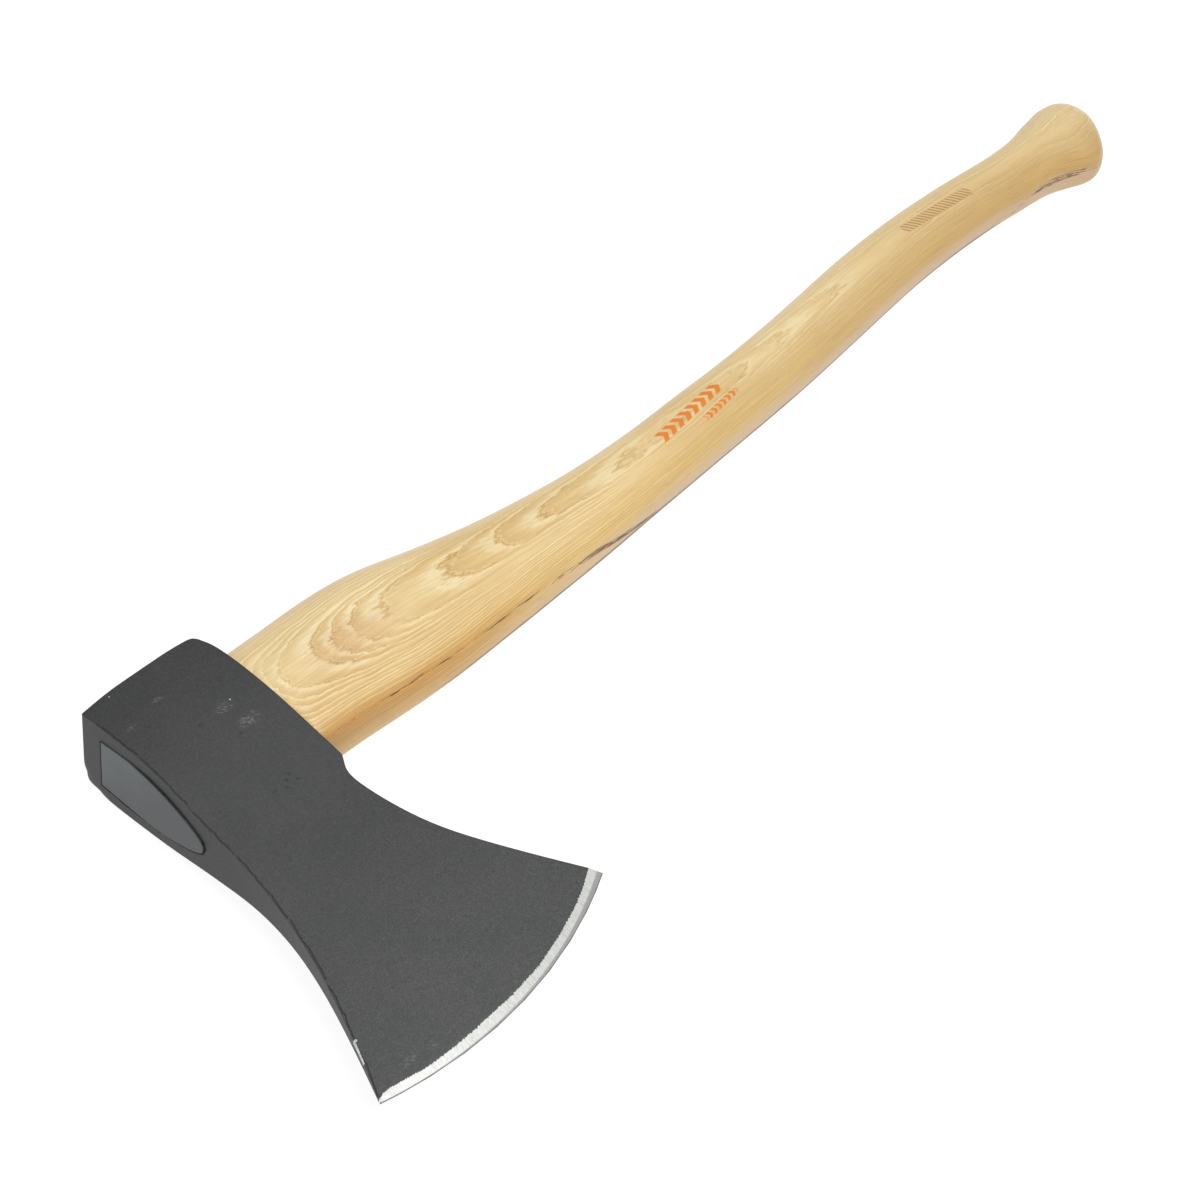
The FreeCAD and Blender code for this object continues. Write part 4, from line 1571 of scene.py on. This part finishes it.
@dataclass
class Haft:
    """The hickory haft: tongue, shoulder, belly, grip and knob."""

    space: AxeSpace
    shoulder: float = 59.5
    tongue_top: float = 4.2
    tongue_width: float = 42.0
    tongue_thick: float = 18.0
    tongue_centre: float = 3.0
    tongue_inset: float = 2.0
    chamfer: tuple[float, float] = (0.962, 0.925)
    kerf_end: float = 50.2
    kerf_half: float = 3.3
    kerf_reach: float = 40.0
    kerf_tip_share: float = 0.25
    end_inset: float = 1.6
    widest: float = 670.0
    sides: int = 24
    stations: tuple[Station, ...] = HAFT_STATIONS

    def build(self) -> bpy.types.Object:
        """Model the haft.

        Returns:
            The finished mesh object.
        """
        bench = Bench("hickory_haft", self.space)
        first, second = self.stations[:2]
        bench.start_rod(first.x, second.x, first.width / 2, self.sides)
        for station in (first, second):
            bench.select("VERT", lambda place, station=station: abs(place.x - station.x) < SAME_PLACE)
            bench.move((0, station.centre, 0))
            self.shape_ring(bench, station)
        bench.select("FACE", lambda middle: abs(middle.x - first.x) < SAME_PLACE)
        self.add_tongue(bench)
        bench.select("FACE", lambda middle: abs(middle.x - second.x) < SAME_PLACE)
        for before, station in zip(self.stations[1:], self.stations[2:]):
            bench.extrude((station.x - before.x, station.centre - before.centre, 0))
            self.shape_ring(bench, station)
        bpy.ops.mesh.inset(thickness=self.end_inset * MM)
        bpy.ops.mesh.poke()
        haft = bench.finish(levels=2, angle=35)
        bench.subtract(self.kerf())
        self.store_across(haft)
        return haft

    def shape_ring(self, bench: Bench, station: Station) -> None:
        """Give the selected ring the station's section.

        Args:
            bench: The bench that holds the haft.
            station: The section to follow.
        """
        taken = bench.selected_numbers()
        ring = sorted({self.quarter_angle(place, station.centre) for place in bench.selected()})
        for number, angle in enumerate(ring):
            place = bench.pick(
                taken,
                lambda point, angle=angle: abs(self.quarter_angle(point, station.centre) - angle) < 0.2)
            turn = number * math.pi / 2 / (len(ring) - 1)
            wide = station.width / 2 * math.cos(turn) ** (2 / station.power)
            high = station.thick / 2 * math.sin(turn) ** (2 / station.power)
            out = abs(place.y - station.centre)
            up = abs(place.z)
            bench.stretch(
                (1, wide / out if out > 0.01 else 1, high / up if up > 0.01 else 1),
                (place.x, station.centre, 0))
        bench.pick(taken, lambda point: True)
        bpy.ops.mesh.select_mode(type="FACE")

    def quarter_angle(self, place: Vector, centre: float) -> float:
        """Angle of a place on a ring, folded into the first quarter, in degrees."""
        return round(math.degrees(math.atan2(abs(place.z), abs(place.y - centre))), 1)

    def add_tongue(self, bench: Bench) -> None:
        """Chamfer the shoulder and run the tongue up into the eye.

        Args:
            bench: The bench that holds the piece.
        """
        first = self.stations[0]
        bench.extrude((self.shoulder - first.x, 0, 0))
        bench.stretch((1, *self.chamfer), (0, first.centre, 0))
        bench.select_edges(lambda place: abs(place.x - self.shoulder) < SAME_PLACE)
        bench.crease(Crease.CRISP)
        bench.select("FACE", lambda middle: abs(middle.x - self.shoulder) < SAME_PLACE)
        bpy.ops.mesh.inset(thickness=self.tongue_inset * MM)
        places = bench.selected()
        wide = max(place.y for place in places) - min(place.y for place in places)
        high = 2 * max(place.z for place in places)
        bench.stretch((1, self.tongue_width / wide, self.tongue_thick / high), (0, first.centre, 0))
        bench.move((0, self.tongue_centre - first.centre, 0))
        bench.extrude((self.tongue_top - self.shoulder, 0, 0))
        bpy.ops.mesh.inset(thickness=self.tongue_inset * MM)

    def kerf(self) -> bpy.types.Object:
        """Wedge shaped block that cuts the kerf into the tongue.

        Returns:
            The cutting object.
        """
        bench = Bench("kerf_cutter", self.space)
        reach, half = self.kerf_reach, self.kerf_half
        bench.start_box((0, -reach, -half), (self.kerf_end, reach, half))
        bench.select("FACE", lambda middle: abs(middle.x - self.kerf_end) < SAME_PLACE)
        bench.stretch((1, 1, self.kerf_tip_share), (0, 0, 0))
        return bench.finish(levels=0)

    def store_across(self, haft: bpy.types.Object) -> None:
        """Store each vertex's share of the half width, -1 at the bit side.

        Args:
            haft: The finished haft.
        """
        layer = haft.data.attributes.new("across", "FLOAT", "POINT")
        for vertex in haft.data.vertices:
            place = self.space.local(vertex.co)
            centre, width = self.section_at(place.x)
            layer.data[vertex.index].value = (place.y - centre) / (width / 2)

    def section_at(self, x: float) -> tuple[float, float]:
        """Centre and width of the haft at one distance down it.

        Args:
            x: Distance down the haft, in millimetres.

        Returns:
            Y of the centre and the width, in millimetres.
        """
        x = min(max(x, self.stations[0].x), self.widest)
        for left, right in zip(self.stations, self.stations[1:]):
            if x <= right.x:
                share = (x - left.x) / (right.x - left.x)
                return (left.centre + (right.centre - left.centre) * share,
                        left.width + (right.width - left.width) * share)
        raise ValueError("past the end of the haft")


# ------------------------------------------------------------------ the studio


@dataclass(frozen=True)
class Softbox:
    """One large square light."""

    name: str
    place: Point
    aim: Point
    size: float
    power: float

    def build(self) -> None:
        """Hang the light and point it at its aim."""
        light = bpy.data.lights.new(self.name, "AREA")
        light.size = self.size
        light.energy = self.power
        holder = bpy.data.objects.new(self.name, light)
        bpy.context.scene.collection.objects.link(holder)
        holder.location = self.place
        away = Vector(self.place) - Vector(self.aim)
        holder.rotation_euler = away.to_track_quat("Z", "Y").to_euler()


@dataclass
class Studio:
    """Floor, lights and camera."""

    space: AxeSpace
    camera_place: Point = (-371.7, -402.9, 657.4)
    yaw: float = 0.551186
    pitch: float = 0.771154
    roll: float = 0.179118
    lens: float = 67.635
    sensor: float = 36.0
    floor_side: float = 30.0
    floor_drop: float = 0.0006
    room_light: float = 0.40
    softboxes: tuple[Softbox, ...] = (
        Softbox("key", (-0.20, -0.55, 1.45), (-0.15, -0.02, 0.0), 1.1, 15.6),
        Softbox("overhead", (0.40, 0.30, 1.7), (0.0, 0.0, 0.0), 1.3, 8.8),
    )

    def build(self) -> None:
        """Set up everything around the axe."""
        self.lay_floor()
        for softbox in self.softboxes:
            softbox.build()
        self.light_room()
        self.place_camera()

    def lay_floor(self) -> None:
        """Lay a wide pale floor under the axe."""
        bpy.ops.object.select_all(action="DESELECT")
        bpy.ops.mesh.primitive_plane_add(size=self.floor_side, location=(0, 0, -self.floor_drop))
        floor = bpy.context.object
        floor.name = "studio_floor"
        floor.data.materials.append(StudioFloor().build(self.space))

    def light_room(self) -> None:
        """Fill the room with even white light."""
        world = bpy.data.worlds.new("studio")
        bpy.context.scene.world = world
        world.use_nodes = True
        background = world.node_tree.nodes["Background"]
        background.inputs["Color"].default_value = (1.0, 1.0, 1.0, 1.0)
        background.inputs["Strength"].default_value = self.room_light
        bpy.context.scene.view_settings.view_transform = "Standard"

    def place_camera(self) -> None:
        """Stand the camera above the head, looking down the haft."""
        forward = Vector((
            math.cos(self.pitch) * math.cos(self.yaw),
            math.cos(self.pitch) * math.sin(self.yaw),
            -math.sin(self.pitch)))
        level_right = forward.cross(Vector((0, 0, 1))).normalized()
        level_up = level_right.cross(forward)
        right = level_right * math.cos(self.roll) + level_up * math.sin(self.roll)
        up = level_up * math.cos(self.roll) - level_right * math.sin(self.roll)
        data = bpy.data.cameras.new("camera")
        data.lens = self.lens
        data.sensor_width = self.sensor
        data.clip_start = 0.02
        camera = bpy.data.objects.new("camera", data)
        bpy.context.scene.collection.objects.link(camera)
        turn = Matrix((right, up, -forward)).transposed().to_4x4()
        camera.matrix_world = Matrix.Translation(self.space.at(*self.camera_place)) @ turn
        bpy.context.scene.camera = camera


# ------------------------------------------------------------------ putting it together


def dress(piece: bpy.types.Object, material: bpy.types.Material) -> None:
    """Give a piece one material all over.

    Args:
        piece: The object.
        material: The finish.
    """
    piece.data.materials.clear()
    piece.data.materials.append(material)


def report(piece: bpy.types.Object) -> None:
    """Log a piece's name, size and number of faces."""
    size = [round(length / MM, 1) for length in piece.dimensions]
    logging.info("%s: %s mm, %d faces", piece.name, size, len(piece.data.polygons))


def main() -> None:
    """Build the axe and the studio around it."""
    logging.basicConfig(level=logging.INFO, format="%(message)s")
    space = AxeSpace.from_frame()

    head = AxeHead(space).build()
    dress(head, ForgedPaint().build(space))
    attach(head, "root")
    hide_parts("axe_head")
    report(head)

    haft = Haft(space).build()
    dress(haft, ClearHickory().build(space))
    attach(haft, "root")
    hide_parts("haft")
    report(haft)

    plug = EyeSeal(space).build()
    dress(plug, SealResin().build(space))
    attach(plug, "root")
    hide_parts("eye_seal")
    report(plug)

    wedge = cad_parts["kerf_wedge"]
    wedge_wood = WedgeWood().build(space)
    for slot in wedge.material_slots:
        slot.material = wedge_wood

    Studio(space).build()


if __name__ == "__main__":
    main()
